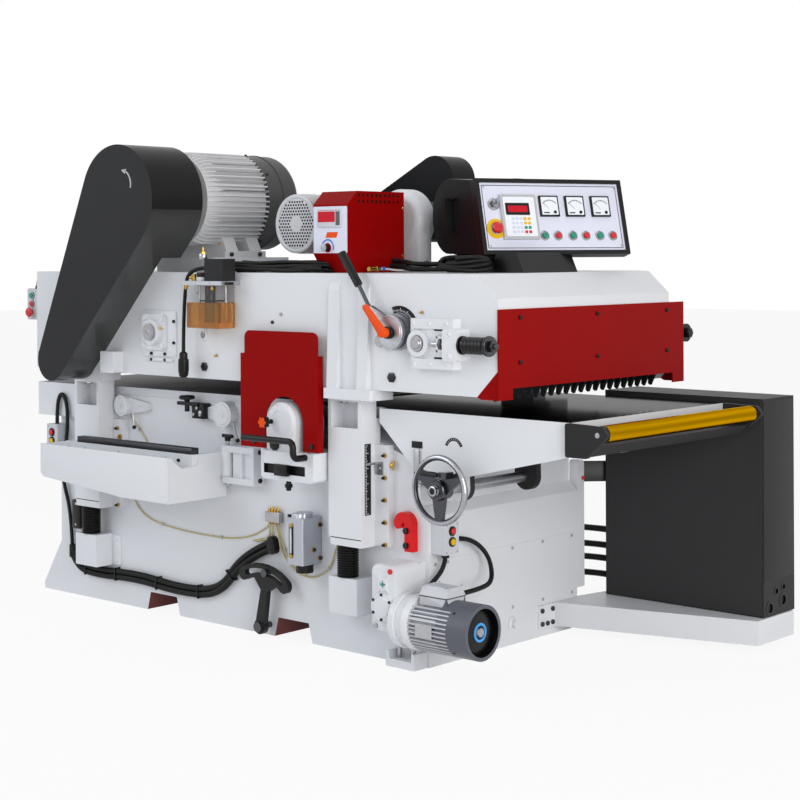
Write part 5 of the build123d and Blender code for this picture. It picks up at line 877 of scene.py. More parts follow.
TRACK_Z = 1064
TAKE_UP_Y = 553
spring = Piece("track_spring", "head", black_plastic)
for y in (-TAKE_UP_Y, TAKE_UP_Y):
    spring.add(coil(1249, y, TRACK_Z, 26.5, 6.6, 6, 13.8))
    spring.add(rod((1237, y, TRACK_Z), (1337, y, TRACK_Z), 17))
    spring.add(turned([(0, 0), (29, 0), (29, 6), (0, 6)], (1237, y, TRACK_Z), INFEED, 28))
    spring.add(turned([(0, 0), (30, 0), (32, 3), (32, 10), (0, 10)], (1337, y, TRACK_Z), INFEED, 28))
    spring.add(hex_head((1347, y, TRACK_Z), INFEED, 19, 18))
spring = spring.done()
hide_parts("take_up_spring")

# Belt guard: turning arrow on its face
ARROW_MIDDLE = (-270.0, 1602.0)
GUARD_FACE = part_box("belt_guard")[0][1] / MM
arrow_head = []
for reach, angle in ((53, 90), (63, 62), (43, 62)):
    across, up = polar(angle, reach)
    arrow_head.append((ARROW_MIDDLE[0] + across, ARROW_MIDDLE[1] + up))
arrow = Piece("guard_arrow", "head", mark_grey)
arrow.add(slab(band(*ARROW_MIDDLE, 50, 56, -14, 66), -0.4, 0.8, side_plane(GUARD_FACE)))
arrow.add(slab(arrow_head, -0.4, 0.8, side_plane(GUARD_FACE)))
arrow.done()

# Main motor: fins, cowl band and its screws, foot bolts
MOTOR_X = -300.0
MOTOR_Z = 1548.0
COWL_RADIUS = 183.5
FIN_OUTLINE = [(-372, 164), (-372, 170), (-360, 179), (-340, 185), (-311, 186), (-73, 186), (-73, 164)]
motor_fins = Piece("main_motor_fins", "head", motor_paint)
for turn in range(0, 360, 6):
    if not 150 < turn < 210:
        out, across = polar(turn)
        up = Vector((across, 0, out))
        motor_fins.add(radial_fin(FIN_OUTLINE, 2.6, (MOTOR_X, 0, MOTOR_Z), Vector(BACK), up))
motor_fins.done()
motor_bits = Piece("main_motor_fittings", "head", black_screw)
motor_bits.add(ring((MOTOR_X, 4, MOTOR_Z), BACK, COWL_RADIUS, 186.5, 8, 64), cowl_dark)
for angle in (35, 80, 125, 215, 260, 305):
    across, up = polar(angle)
    foot = (MOTOR_X + COWL_RADIUS * across, -52, MOTOR_Z + COWL_RADIUS * up)
    motor_bits.add(hex_head(foot, (across, 0, up), 6, 6))
FEET_Y = (-238, -92)
motor_bits.fix(hex_head, UP, 11, 9, spots((-432, -168), FEET_Y, 1359))
for point in spots((-432, -168), FEET_Y, 1358.5):
    motor_bits.add(ring(point, UP, 5, 15, 2))
motor_bits.fix(hex_head, INFEED, 9, 7, spots(-150, FEET_Y, 1347))
motor_bits.add(nipple((-150, -300, 1385), (0.7, 0, 0.7)), brass)
motor_bits.done()

# Track motor: perforated fan cap
TRACK_MOTOR = (360.0, 1453.0)
CAP_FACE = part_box("track_motor")[0][1] / MM
# Black discs stand in for the cap's perforations: painted shade of the holes.
cap_holes = Piece("track_motor_cap_holes", "head", black_plastic)
HOLE_PITCH = 12.5
for row in range(-7, 8):
    for column in range(-7, 8):
        across = HOLE_PITCH * (column + 0.5 * (row % 2))
        up = HOLE_PITCH * 0.87 * row
        if 26 < math.hypot(across, up) < 84:
            spot = (TRACK_MOTOR[0] + across, TRACK_MOTOR[1] + up)
            cap_holes.add(slab(circle(*spot, 4.1, 8), -0.5, 0.5, side_plane(CAP_FACE)))
cap_holes.done()
cap_rim = Piece("track_motor_cap_rim", "head", cap_grey)
cap_rim.add(turned([(88, 0), (92, 2.5), (99, 2.5), (103, 0)],
                   (TRACK_MOTOR[0], CAP_FACE + 0.2, TRACK_MOTOR[1]), FRONT, 48))
cap_rim.done()

# Rear motor's foot block
rear_motor = Piece("rear_motor_body", "head", white_paint)
rear_motor.add(cuboid((470, 668), (-102, -26), (1284, 1470), 14))
rear_motor.add(hex_head((668, -64, 1310), INFEED, 12, 9), black_screw)
rear_motor.done()

# Speed box: face plate, display, knob scale and vents
SPEED_FACE = side_plane(-450.0)
SPEED_KNOB = (563, 1368)
speed_plate = Piece("speed_plate", "head", panel_face)
speed_plate.add(slab(rounded((496, 654), (1350, 1508), 4), -0.4, 1.0, SPEED_FACE))
speed_plate.add(slab(rounded((519, 629), (1437, 1494), 4), 0, 6.5, SPEED_FACE, 1.0), grey_plastic)
speed_plate.add(slab(rounded((523, 602), (1455, 1491), 2), 0, 7.5, SPEED_FACE), display_red)
speed_plate.add(slab(rounded((606, 625), (1444, 1491), 2), 0, 7.2, SPEED_FACE), dark_steel)
speed_plate.add(slab([(553, 1402), (604, 1402), (612, 1421), (561, 1421)], 0, 1.5, SPEED_FACE), orange)
speed_plate.add(slab(band(*SPEED_KNOB, 25, 30, -15, 150), 0, 1.5, SPEED_FACE), blue_mark)
speed_plate.done()
knob_face = Piece("speed_knob_face", "speed_knob", chrome)
knob_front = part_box("speed_knob")[0][1] / MM
knob_face.add(turned([(0, 1.2), (11, 1.2), (12.5, 0), (12.5, -1)],
                     (SPEED_KNOB[0], knob_front, SPEED_KNOB[1]), FRONT, 24))
knob_face.add(cuboid((562, 564), (knob_front - 1.8, knob_front - 1.0), (1370, 1379)), meter_white)
knob_face.done()
SPEED_END = 656
# Black rounded patches stand in for the vent slots: painted shade of their openings.
vents = Piece("speed_box_vents", "head", black_plastic)
for z in (1525, 1546):
    for step in range(10):
        y = -395 + 196 * step / 9
        vents.add(slab(rounded((y - 4.5, y + 4.5), (z - 6, z + 6), 4, 3), -0.5, 0.6, end_plane(SPEED_END)))
vents.fix(pan_head, INFEED, 5, 3, spots(SPEED_END, -172, (1340, 1505)), brass)
vents.done()

# Head station: cover screws, seam and lead
station = Piece("head_station_fittings", "head", tool_steel)
station.fix(pan_head, FRONT, 3.5, 2, spots((-1041, -992), HEAD_SIDE, (1101, 1205)))
for z in (1092.4, 1213.6):
    station.add(cuboid((-1048.5, -985), (-508, -506.5), (z - 0.8, z + 0.8)), black_plastic)
station.add(cuboid((-1048.8, -1047), (-508, -506.5), (1092, 1214)), black_plastic)
station.add(upright(-1027, -480, 1212, 1226, 10, bevel=2), black_plastic)
station.done()
HEAD_LEAD = ((-1027, -480, 1222), (-1027, -480, 1246), (-1012, -480, 1252), (-984, -480, 1252))
hose("head_station_lead", "head", HEAD_LEAD, 6.5, 4.0)

# Lubricator: oil, strainer and unions
oiler = Piece("lubricator_inside", "head", amber_oil)
oiler.add(cuboid((9.5, 176.5), (-600.5, -521.5), (1089.5, 1178), 3))
oiler.add(upright(100, -560, 1108, 1236, 21, sides=20, bevel=2), black_plastic)
oiler.add(cuboid((66, 140), (-585, -540), (1182, 1187)), black_plastic)
oiler.add(upright(44, -560, 1112, 1238, 5, sides=12), tool_steel)
oiler.add(upright(150, -545, 1112, 1238, 5, sides=12), tool_steel)
oiler.done()
OILER_POST = (54, -560)
unions = Piece("lubricator_fittings", "head", brass)
unions.add(upright(*OILER_POST, 1330, 1350, 17, bevel=2), tool_steel)
unions.add(hex_head((*OILER_POST, 1350), UP, 9, 8))
unions.add(upright(*OILER_POST, 1357, 1374, 5, tip=3, sides=12))
unions.add(upright(22, -575, 1254, 1278, 8, sides=6))
unions.add(rod((22, -575, 1266), (2, -575, 1266), 6, sides=12))
unions.add(upright(*OILER_POST, 1254, 1268, 22, bevel=2), white_paint)
unions.add(upright(*OILER_POST, 1268, 1284, 24, bevel=3), black_plastic)
unions.add(hex_head((2, -592, 1240), DOWN, 8, 16))
unions.add(hex_head((151, -602, 1229), FRONT, 8, 6))
unions.add(cuboid((176, 214), (-588, -560), (1241, 1251), 2), black_plastic)
unions.done()

# Head side: bearing flange, elbow, plugs, dial with its clamp, take-up plate
BEARING_X = -255
BEARING_Z = 1064
flange = Piece("bearing_flange_fittings", "head", white_paint)
flange.add(slab(rounded((-331, -141), (974, 1142), 8), 0, 6, side_plane(HEAD_SIDE), 1.5))
flange.add(cuboid((-311, -161), (-524, -515), (956, 968), 2))
for point in spots((-305, -205), -531, (1014, 1114)):
    flange.add(hex_head(point, FRONT, 11, 8))
    flange.add(ring(point, FRONT, 6, 15, 2))
flange.fix(socket_head, FRONT, 6, 6, spots(-150, -521, (1026, 1104)), black_screw)
flange.fix(socket_head, FRONT, 6, 6, spots((-276, -200), -521, (962, 984)), black_screw)
flange.add(nipple((-209, -537, 1079), (0.6, -0.8, 0)), yellow_plastic)
flange.add(ring((BEARING_X, -549, BEARING_Z), FRONT, 16, 31, 9), tool_steel)
# Dark steel disc inside the ring: painted shade of the shaft end's hollow centre.
flange.add(rod((BEARING_X, -547, BEARING_Z), (BEARING_X, -551, BEARING_Z), 16), dark_steel)
flange.add(rod((BEARING_X, -549, BEARING_Z), (BEARING_X, -561, BEARING_Z), 9, bevel=2), tool_steel)
flange.done()

elbow = Piece("cutter_bearing_fittings", "head", black_plastic)
elbow.add(upright(-682, -526, 999, 1034, 17, bevel=3))
elbow.add(rod((-682, -526, 1028), (-716, -526, 1046), 15, bevel=3))
elbow.add(cuboid((-744, -646), (-540, -516), (894, 904), 1), brass)
elbow.done()

side_plugs = Piece("head_side_plugs", "head", white_paint)
side_plugs.add(turned([(12, 0), (22, 0), (23, 3), (21, 6), (14, 6), (12, 3)],
                      (4, HEAD_SIDE, 1060), FRONT, 32))
side_plugs.add(hex_head((4, HEAD_SIDE, 1060), FRONT, 11, 7), tool_steel)
for x, z in ((9, 946), (912, 948)):
    side_plugs.add(hex_head((x, HEAD_SIDE, z), FRONT, 17, 7), black_screw)
side_plugs.add(hex_head((402, HEAD_SIDE, 1141), FRONT, 7, 5), tool_steel)
side_plugs.add(socket_head((360, HEAD_SIDE, 1113), FRONT, 6, 5), black_screw)
side_plugs.add(nipple((74, HEAD_SIDE, 988), FRONT), brass)
side_plugs.add(nipple((1043, HEAD_SIDE, 1161), FRONT), brass)
side_plugs.add(hex_head((-1, HEAD_SIDE, 1210), FRONT, 6, 4), tool_steel)
side_plugs.done()

dial_scale = Piece("dial_scale", "head", black_plastic)
dial_scale.add(slab(band(*DIAL, 62, 84, -8, 112), 0, 2.0, side_plane(HEAD_SIDE)))
for step in range(21):
    angle = 10 + 5 * step
    mark = band(*DIAL, 66, 72 if step % 5 else 77, angle - 0.55, angle + 0.55, 1)
    dial_scale.add(slab(mark, 1.6, 2.5, side_plane(HEAD_SIDE)), meter_white)
dial_scale.done()

dial_face = Piece("dial_face", "crank_lever", alloy)
dial_face.add(turned([(22, 4), (46, 4), (47, 2.5), (50, 2.5), (51, 4),
                      (53, 4), (55, 2), (55, -10), (22, -10), (22, 4)], (DIAL[0], -561, DIAL[1]), FRONT, 56))
dial_face.done()

clamp = Piece("clamp_handle", "clamp_lever", orange)
clamp.add(slab(tapered(DIAL, (872, 1176), 15, 9), 0, 14, side_plane(-590), 3))
clamp.add(rod((DIAL[0], -578, DIAL[1]), (DIAL[0], -606, DIAL[1]), 16, sides=28, bevel=3))
clamp.add(rod((DIAL[0], -563, DIAL[1]), (DIAL[0], -581, DIAL[1]), 20, sides=28, bevel=3), black_plastic)
clamp.add(rod((DIAL[0], -540, DIAL[1]), (DIAL[0], -565, DIAL[1]), 12, sides=24), dark_steel)
clamp = clamp.done()
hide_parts("clamp_lever")

take_up = Piece("take_up_fittings", "head", black_screw)
take_up.fix(pan_head, FRONT, 7, 4, spots((1040, 1106, 1176), -TAKE_UP_Y, (1001, 1127)), white_paint)
# Two thin black strips stand in for slots in the plate: painted shade of their openings.
for z in (1020, 1108):
    take_up.add(cuboid((1118, 1176), (-545.8, -544.5), (z - 3, z + 3)), cast_black)
take_up.add(ring((1056, -TAKE_UP_Y, TRACK_Z), FRONT, 27, 42, 5), white_paint)
for step in range(3):
    wide = 25 - 4 * step
    foot = (1056, -TAKE_UP_Y - 5 * step, TRACK_Z)
    take_up.add(turned([(0, 5), (wide - 3, 5), (wide, 2), (wide, 0)], foot, FRONT, 28), tool_steel)
take_up.fix(pan_head, FRONT, 8, 4, spots(1206, -577, (1030, 1098)), white_paint)
take_up.add(cuboid((1142, 1150), (-566, -545), (1040, 1090), 1), white_paint)
for low in (1040, 1082):
    take_up.add(cuboid((1142, 1168), (-566, -545), (low, low + 8), 1), white_paint)
take_up.add(rod((1120, -556, TRACK_Z), (1178, -556, TRACK_Z), 9, sides=20), tool_steel)
take_up.add(hex_head((1150, -556, TRACK_Z), INFEED, 16, 12), dark_steel)
take_up.done()

# Far corner of the hood and the front cover's screws
hood_corner = Piece("hood_far_corner", "head", white_paint)
hood_corner.add(slab([(1183, 1282.6), (1265.6, 1208), (1265.6, 1154), (1340, 1154),
                      (1340, 1148), (1259, 1148), (1259, 1205), (1179, 1278)], -476, -430, side_plane(0)))
hood_corner.add(slab([(1183, 1282.5), (1266.5, 1282.5), (1349.5, 1207.5),
                      (1349.5, 1150), (1262, 1150), (1262, 1206)], -433.6, -427, side_plane(0)))
hood_corner.done()
fasteners("hood_front_screws", "head", black_screw, socket_head, INFEED, 7, 6,
          spots(1355, (-413, 0, 413), (1148, 1009)))

# Head top: valve, cable coil and cables between the speed box and the pedestal
VALVE_X = 690
VALVE_Z = 1296
valve = Piece("air_valve", "head", brass)
valve.add(hex_head((VALVE_X, -376, VALVE_Z), FRONT, 9, 10))
valve.add(hex_head((VALVE_X, -340, VALVE_Z), FRONT, 10, 10))
VALVE_STEM = ((-376, -346, 7, brass), (-340, -326, 4.5, tool_steel), (-318, -306, 6, blue_mark))
for near, far, radius, material in VALVE_STEM:
    valve.add(rod((VALVE_X, near, VALVE_Z), (VALVE_X, far, VALVE_Z), radius, sides=12), material)
valve.done()
AIR_TUBE = ((VALVE_X, -330, VALVE_Z), (VALVE_X, -300, VALVE_Z),
            (706, -262, 1290), (770, -252, 1290), (860, -252, 1290))
lead("air_tube", "head", AIR_TUBE, 3.5, grey_plastic)
COIL = Vector((1010.0, -262.0, 1296.0))
for number in range(4):
    loop = []
    reach = 104 - 5 * number
    for step in range(15):
        angle = math.radians(200 + 320 * step / 14 + 25 * number)
        loop.append((COIL.x + reach * math.cos(angle), COIL.y + 0.62 * reach * math.sin(angle),
                     COIL.z + 11 * number + 6 * math.sin(2 * angle + number)))
    hose(f"head_coil_{number + 1}", "head", loop, 8.0, 5.0)
for number, (y, z) in enumerate(((-216, 1294), (-236, 1294), (-206, 1310), (-226, 1312)), start=1):
    route = ((657, y, z + 12), (700, y, z + 10), (780, y - 40, z), (870, y - 30, z), (960, y + 10, z),
             (1090, y + 40, z))
    hose(f"pedestal_lead_{number}", "head", route, 8.0, 5.0)
for number in range(7):
    y = -502 + 10 * number
    z = 1293 + 12 * (number % 3)
    route = []
    for step, x in enumerate((140, 205, 290, 380, 460, 545)):
        sway = 5 * math.sin(1.7 * number + 1.3 * step)
        route.append((x, y + sway if x < 540 else -430 + 6 * number, z + 0.6 * sway))
    hose(f"head_bundle_{number + 3}", "head", route, 7.5, 5.0)

# Bed side: bosses, drop rods, star knob on its bracket, oil tube
BOSS_Y = -445
BOSS_Z = 770
bosses = Piece("bed_boss_fittings", "base", white_paint)
for x, radius in ((-553, 33), (22, 38)):
    bosses.add(turned([(0, 3), (radius - 3, 3), (radius, 0)], (x, BOSS_Y, BOSS_Z), FRONT, 40))
    bosses.add(turned([(0, 1.5), (7, 1.5), (9, 3)], (x, BOSS_Y - 3, BOSS_Z), FRONT, 16))
bosses.fix(socket_head, FRONT, 7, 5, spots((-436, -94), BOSS_Y, BOSS_Z))
for start, end in (((-496, -432, 742), (-488, -432, 690)), ((66, -432, 742), (90, -432, 680))):
    bosses.add(rod(start, end, 4, sides=12), tool_steel)
    bosses.add(ball(end, 8), black_plastic)
bosses.done()

KNOB_X = -166
KNOB_Y = -447
star_knob = Piece("bed_star_knob", "base", cast_black)
star_knob.add(cuboid((-141, -77), (KNOB_Y, BED_SIDE), (747, 803), 3))
star_knob.add(cuboid((-214, -100), (-456, -438), (793, 806), 3))
star_knob.add(upright(KNOB_X, KNOB_Y, 770, 800, 9, sides=20, bevel=2))
star_knob.add(turned([(0, 26), (25, 25), (30, 20), (30, 15), (25, 11), (11, 9), (9, 0), (0, 0)],
                     (KNOB_X, KNOB_Y, 804), UP, 36))
for x, z in ((-128, 762), (-92, 762), (-110, 786)):
    star_knob.add(hex_head((x, KNOB_Y, z), FRONT, 7, 5), tool_steel)
star_knob.done()

BED_TUBE_XZ = ((-530, 740), (-524, 718), (-492, 694), (-462, 668),
               (-430, 636), (-424, 560), (-470, 470), (-520, 440))
lead("bed_oil_tube", "base", [(x, -413, z) for x, z in BED_TUBE_XZ], 3.0, oil_tube)
clips = Piece("oil_tube_clips", "base", tool_steel)
CLIPS_XZ = ((-477, 681), (-427, 598), (-447, 515), (-346, 333),
            (-18, 319), (221, 344), (310, 312), (528, 273))
for x, z in CLIPS_XZ:
    clips.add(cuboid((x - 4, x + 4), (-417, BED_SIDE), (z - 6, z + 6), 1.5))
clips.done()

# Gibs, scale and pointer on the guides
gibs = Piece("gib_screws", "base", brass)
for x in (808, -581):
    for step in range(5):
        z = 681 - 295 * step / 4
        gibs.add(hex_head((x, -436, z), FRONT, 8.5, 7))
        gibs.add(socket_head((x, -443, z), FRONT, 4.5, 9), black_screw)
gibs.add(ring((-566, -436, 649), FRONT, 5, 10, 6))
gibs.add(hex_head((822, -424, 648), INFEED, 8, 12))
gibs.add(upright(833, -424, 648, 664, 5, sides=12))
gibs.add(upright(833, -424, 648, 634, 4, sides=12))
gibs.add(slab([(765, 616), (800, 616), (800, 660), (765, 654)], 0, 3, side_plane(-437)), tool_steel)
gibs.add(cuboid((764.4, 766.4), (-480, -437), (648, 656), 0.5), tool_steel)
gibs.add(pan_head((788, -440, 638), FRONT, 5, 3), tool_steel)
gibs.done()
height_scale = Piece("height_scale", "head", black_plastic)
height_scale.add(cuboid((761.5, 763), (-486, -456), (483, 719), 0.4))
for step in range(46):
    z = 488 + 5 * step
    reach = 7
    if step % 5 == 0:
        reach = 11 if step % 10 else 16
    height_scale.add(cuboid((762.6, 763.4), (-484, -484 + reach), (z - 0.7, z + 0.7)), meter_white)
height_scale.done()

windows = Piece("column_window_bolts", "head", tool_steel)
for low in (626, -748):
    windows.fix(hex_head, DOWN, 13, 11, spots((low + 24, low + 98), (-465, 465), 858))
    windows.add(cuboid((low - 4, low + 134), (-503.6, -500), (401, 404), 0.3), black_plastic)
windows.done()

# Jacks and the left cable gland
jacks = Piece("jack_fittings", "base", white_paint)
for low, high in ((-645, -596), (729, 772)):
    jacks.add(slab(rounded((low, high), (148, 264), 6), 0, 8, side_plane(BED_SIDE), 1.5))
    jacks.fix(hex_head, FRONT, 9, 6, spots((low + high) / 2 + 4, -417, (166, 246)))
jacks.done()
gland = Piece("left_gland", "base", black_plastic)
gland.add(cuboid((-866, -816), (-440, -409), (268, 382), 4))
gland.fix(pan_head, FRONT, 5, 3, spots(-841, -440, (284, 366)), tool_steel)
gland.done()

# Swing arm with its open trough, notched end plate, hinge eye, rail and screws
HINGE = (46, -440)
ARM_UNDER = [(-717, 526), (-697, 512), (-229, 474), (12, 474)]
ARM_SIDE = ARM_UNDER + [(12, 636), (-717, 636)]
ARM_FLOOR = [(-714, 530), (-696, 514), (-229, 476), (10, 476), (10, 546), (-714, 546)]
NOTCH = [(-699.6, 474.4), (-426, 474.4), (-426, 636), (-556, 636),
         (-560, 598), (-636, 592), (-664, 612), (-686, 635.6), (-699.6, 635.6)]
fasteners("arm_screws", "swing_arm", black_screw, socket_head, FRONT, 6, 6,
          spots((-600, -400, -130, -60), -579, 612))
casting = Piece("arm_casting", "swing_arm", white_paint)
casting.add(slab(ARM_SIDE, 0, 12, side_plane(-688), 4))
casting.add(slab(ARM_SIDE, 0, 34, side_plane(-545)))
casting.add(slab(ARM_FLOOR, 0, 113, side_plane(-577)))
casting.add(cuboid((-716, -704), (-696, -560), (528, 635)))
casting.add(slab(NOTCH, -25, 0, end_plane(22)))
casting.add(cuboid((20, 40), (-454, -426), (550.5, 639.5), 1))
casting.add(ring((*HINGE, 550.5), UP, 10.4, 21, 89, 36))
# Rail in a dark steel colour: painted shade.
casting.add(cuboid((-647, 8), (-579, -545), (635.5, 658), 1), rail_painted_shade)
casting = casting.done()
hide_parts("swing_arm")
hinge = Piece("arm_hinge_fittings", "base", black_plastic)
hinge.add(upright(*HINGE, 662, 688, 7, sides=16), tool_steel)
hinge.add(rod((20, -440, 694), (72, -440, 694), 7, sides=16, bevel=2))
hinge.add(upright(*HINGE, 676, 700, 11, sides=20, bevel=2))
hinge.add(hex_head((*HINGE, 528), DOWN, 12, 9), tool_steel)
hinge.fix(hex_head, INFEED, 9, 7, spots(204, -432, (545, 645)), black_screw)
hinge.done()

# Carriage: housing cover, grip cap, clamp screw and guard bolts
carriage = Piece("carriage_fittings", "carriage", black_screw)
carriage.add(turned([(44, 3), (60, 3), (63, 0), (44, 0), (44, 3)], (447, -566, 774.5), FRONT, 40),
             white_paint)
carriage.add(knurled((423, -560, 702), FRONT, 20, 16), black_plastic)
carriage.add(pan_head((435, -566, 831), FRONT, 5, 3), red_plastic)
carriage.add(cuboid((428, 488), (-580, -560), (598, 638), 3), black_plastic)
carriage.add(upright(460, -540, 545, 581, 9, sides=16, bevel=2), black_plastic)
carriage.add(upright(460, -540, 556, 568, 14, sides=6), black_plastic)
carriage.done()
fasteners("lower_guard_bolts", "carriage", black_screw, hex_head, FRONT, 9, 6, spots((300, 580), -548, 703))

# Hand oil pump: cap, sight tube, bolts and its tubes
pump = Piece("oil_pump_fittings", "base", alloy)
pump.add(knurled((452, -478, 446), UP, 30, 15))
pump.add(upright(435, -508, 322, 414, 4.5, sides=12), clear_plastic)
pump.add(upright(435, -507, 326, 410, 3.4, sides=12), grey_plastic)
pump.fix(hex_head, FRONT, 8, 6, spots(435, -504, (316, 420)), brass)
for y, z in ((-420, 418), (-420, 304), (-450, 336)):
    pump.add(ring((489, y, z), INFEED, 4, 9, 2), brass)
    pump.add(hex_head((490, y, z), INFEED, 6.5, 7), black_screw)
pump.done()
PUMP_TUBE = ((452, -440, 262), (440, -424, 240), (380, -414, 232),
             (330, -414, 268), (296, -414, 300), (284, -414, 346), (272, -418, 400))
GUIDE_TUBE = ((287, -421, 398), (290, -416, 350), (330, -414, 274), (380, -414, 236),
              (450, -414, 226), (515, -414, 258), (541, -414, 288), (565, -418, 352), (590, -418, 384))
lead("pump_feed_tube", "base", PUMP_TUBE, 3.0, oil_tube)
lead("guide_oil_tube", "base", GUIDE_TUBE, 3.0, oil_tube)
for number, x in enumerate(MANIFOLD_X[:2], start=1):
    route = ((x, -421, 398), (x - 2, -416, 372), (x - 12, -414, 350),
             (x - 30, -414, 338), (x - 90, -414, 326))
    lead(f"side_oil_tube_{number}", "base", route, 3.0, oil_tube)

# Infeed table: scale and plate on the skirt, hanger wings, bracket bolts, stop post
skirt = Piece("infeed_fittings", "infeed_table", black_plastic)
SKIRT_SCALE = (1104.5, 722)
SKIRT_FACE = side_plane(-436)
skirt.add(slab(band(*SKIRT_SCALE, 28, 38, 20, 160), 0, 1.0, SKIRT_FACE))
for step in range(9):
    angle = 34 + 14 * step
    mark = band(*SKIRT_SCALE, 31, 35, angle - 1.0, angle + 1.0, 1)
    skirt.add(slab(mark, 0.8, 1.4, SKIRT_FACE), meter_white)
skirt.add(cuboid((927, 972), (-438.6, -434), (716, 738), 1))
for wing in ([(1030, 716), (1094, 716), (1094, 618)], [(1136, 716), (1200, 716), (1136, 618)]):
    skirt.add(slab(wing, 53, 77, side_plane(0)))
for y in (-446, 446):
    side = FRONT if y < 0 else BACK
    skirt.fix(socket_head, side, 8, 6, spots(1596, y, (757, 815)), black_screw)
    skirt.add(hex_head((1672, y, 807), side, 12, 7), tool_steel)
skirt.done()
post = Piece("infeed_stop_post", "base", tool_steel)
post.add(cuboid((941, 963), (-446, -439.8), (590, 713), 1.5))
post.add(cuboid((941, 972), (-446, -409), (590, 600), 1.5))
post.fix(socket_head, FRONT, 6, 5, spots(952, -446, (612, 636)), black_screw)
post.done()

# Lift gear motor: gearbox ribs, plugs and spigot, then fins, terminal box seam, plate and fan
GEARBOX_FACE = -562.0
GEARBOX_X = 913
VENT_Z = 288
COVER_Y = -572
COVER_Z = 216
gearbox = Piece("gearbox_fittings", "base", white_paint)
for turn in (45, 135):
    across, up = polar(turn)
    rib = [(GEARBOX_X + 38 * end * across - 4 * side * up, VENT_Z + 38 * end * up + 4 * side * across)
           for end, side in ((1, 1), (-1, 1), (-1, -1), (1, -1))]
    gearbox.add(slab(rib, 0, 5, side_plane(GEARBOX_FACE), 1.0))
gearbox.add(ring((GEARBOX_X, GEARBOX_FACE, VENT_Z), FRONT, 13, 20, 6))
gearbox.add(turned([(0, 3), (33, 3), (36, 0)], (GEARBOX_X, COVER_Y, COVER_Z), FRONT, 40))
for turn in range(30, 360, 60):
    across, up = polar(turn, 40)
    gearbox.add(socket_head((GEARBOX_X + across, COVER_Y, COVER_Z + up), FRONT, 4.5, 4), black_screw)
gearbox.add(hex_head((944, GEARBOX_FACE, 332), FRONT, 9, 7), red_plastic)
gearbox.add(hex_head((GEARBOX_X, GEARBOX_FACE, VENT_Z), FRONT, 8, 6), green_plastic)
gearbox.add(hex_head((880, GEARBOX_FACE, 152), FRONT, 9, 7), tool_steel)
for turn in range(45, 360, 90):
    across, up = polar(turn, 78)
    gearbox.add(hex_head((1044, GEAR_Y + across, GEAR_Z + up), INFEED, 8, 7), tool_steel)
gearbox.add(turned([(60, 0), (82, 0), (84, 30), (89.5, 32), (89.5, 56), (87, 60), (60, 60), (60, 0)],
                   (984, GEAR_Y, GEAR_Z), INFEED, 48))
gearbox.done()
GEAR_FIN = [(1043, 70), (1043, 88), (1198, 88), (1204, 86), (1204, 70)]
gear_fins = Piece("gear_motor_fins", "base", gear_silver)
for turn in range(45, 320, 9):
    out, across = polar(turn)
    up = Vector((0, across, out))
    gear_fins.add(radial_fin(GEAR_FIN, 2.2, (0, GEAR_Y, GEAR_Z), Vector(INFEED), up))
gear_fins.done()
gear_motor = Piece("gear_motor_fittings", "base", black_plastic)
gear_motor.add(cuboid((1061.4, 1172.6), (-556.6, -463.4), (270, 273)))
gear_motor.fix(pan_head, UP, 4.5, 3, spots((1070, 1164), (-548, -472), 302), tool_steel)
gear_motor.add(slab(rounded((1080, 1146), (152, 194), 4), 0, 3, side_plane(-597.5)), mark_grey)
gear_motor.fix(pan_head, FRONT, 3, 2, spots((1086, 1140), -600, 173), tool_steel)
gear_motor.add(turned([(0, 4), (46, 4), (64, 0), (64, -12), (0, -12)], (1263, GEAR_Y, GEAR_Z), INFEED, 36))
gear_motor.add(ring((1267, GEAR_Y, GEAR_Z), INFEED, 22, 30, 3), fan_blue)
gear_motor.add(turned([(0, 7), (14, 6), (17, 0)], (1267, GEAR_Y, GEAR_Z), INFEED, 24), tool_steel)
for turn in range(45, 360, 90):
    across, up = polar(turn)
    foot = (1216, GEAR_Y + 87 * across, GEAR_Z + 87 * up)
    gear_motor.add(pan_head(foot, (0, across, up), 5, 3), black_screw)
gear_motor.add(rod((1060, -490, 278), (1046, -490, 278), 11, sides=6))
gear_motor.add(rod((1130, -465, 266), (1130, -450, 266), 11, sides=6))
gear_motor.done()

# Base end: cover screws, drain, hook bolts, station screws, shelf bolts, levelling bolts
base_end = Piece("base_end_fittings", "base", black_screw)
base_end.fix(pan_head, INFEED, 6, 4, spots(975, (-380, -316, -120, 28, 200, 372), (130, 333)), tool_steel)
base_end.add(turned([(14, 0), (24, 0), (24, 6), (18, 10), (14, 10)], (972, 28, 72), INFEED, 28), white_paint)
base_end.add(hex_head((972, 28, 72), INFEED, 13, 14), white_paint)
base_end.fix(hex_head, FRONT, 11, 8, spots(900, -437, (394, 442)))
for x in (872.5, 932.5):
    for y in (-441, 441):
        base_end.add(upright(x, y, 20, 84, 9, sides=16, bevel=1.5), tool_steel)
        base_end.add(hex_head((x, y, 60), UP, 15, 12), tool_steel)
base_end.fix(pan_head, INFEED, 3.5, 2, spots(1032, (-388, -335), (378, 466)), tool_steel)
base_end.fix(pan_head, FRONT, 3.5, 2, spots((-979, -925), -469, (588, 668)), tool_steel)
for y, z in ((186, 92), (186, 46), (216, 45), (246, 92), (246, 45)):
    base_end.add(hex_head((982, y, z), INFEED, 9, 7))
for y in (-359, 359):
    base_end.add(ring((-1028.5, y, 26), UP, 9, 21, 4), tool_steel)
    base_end.add(hex_head((-1028.5, y, 30), UP, 15, 12), tool_steel)
base_end.add(ball((972, 446, 532), 8), red_plastic)
base_end.done()

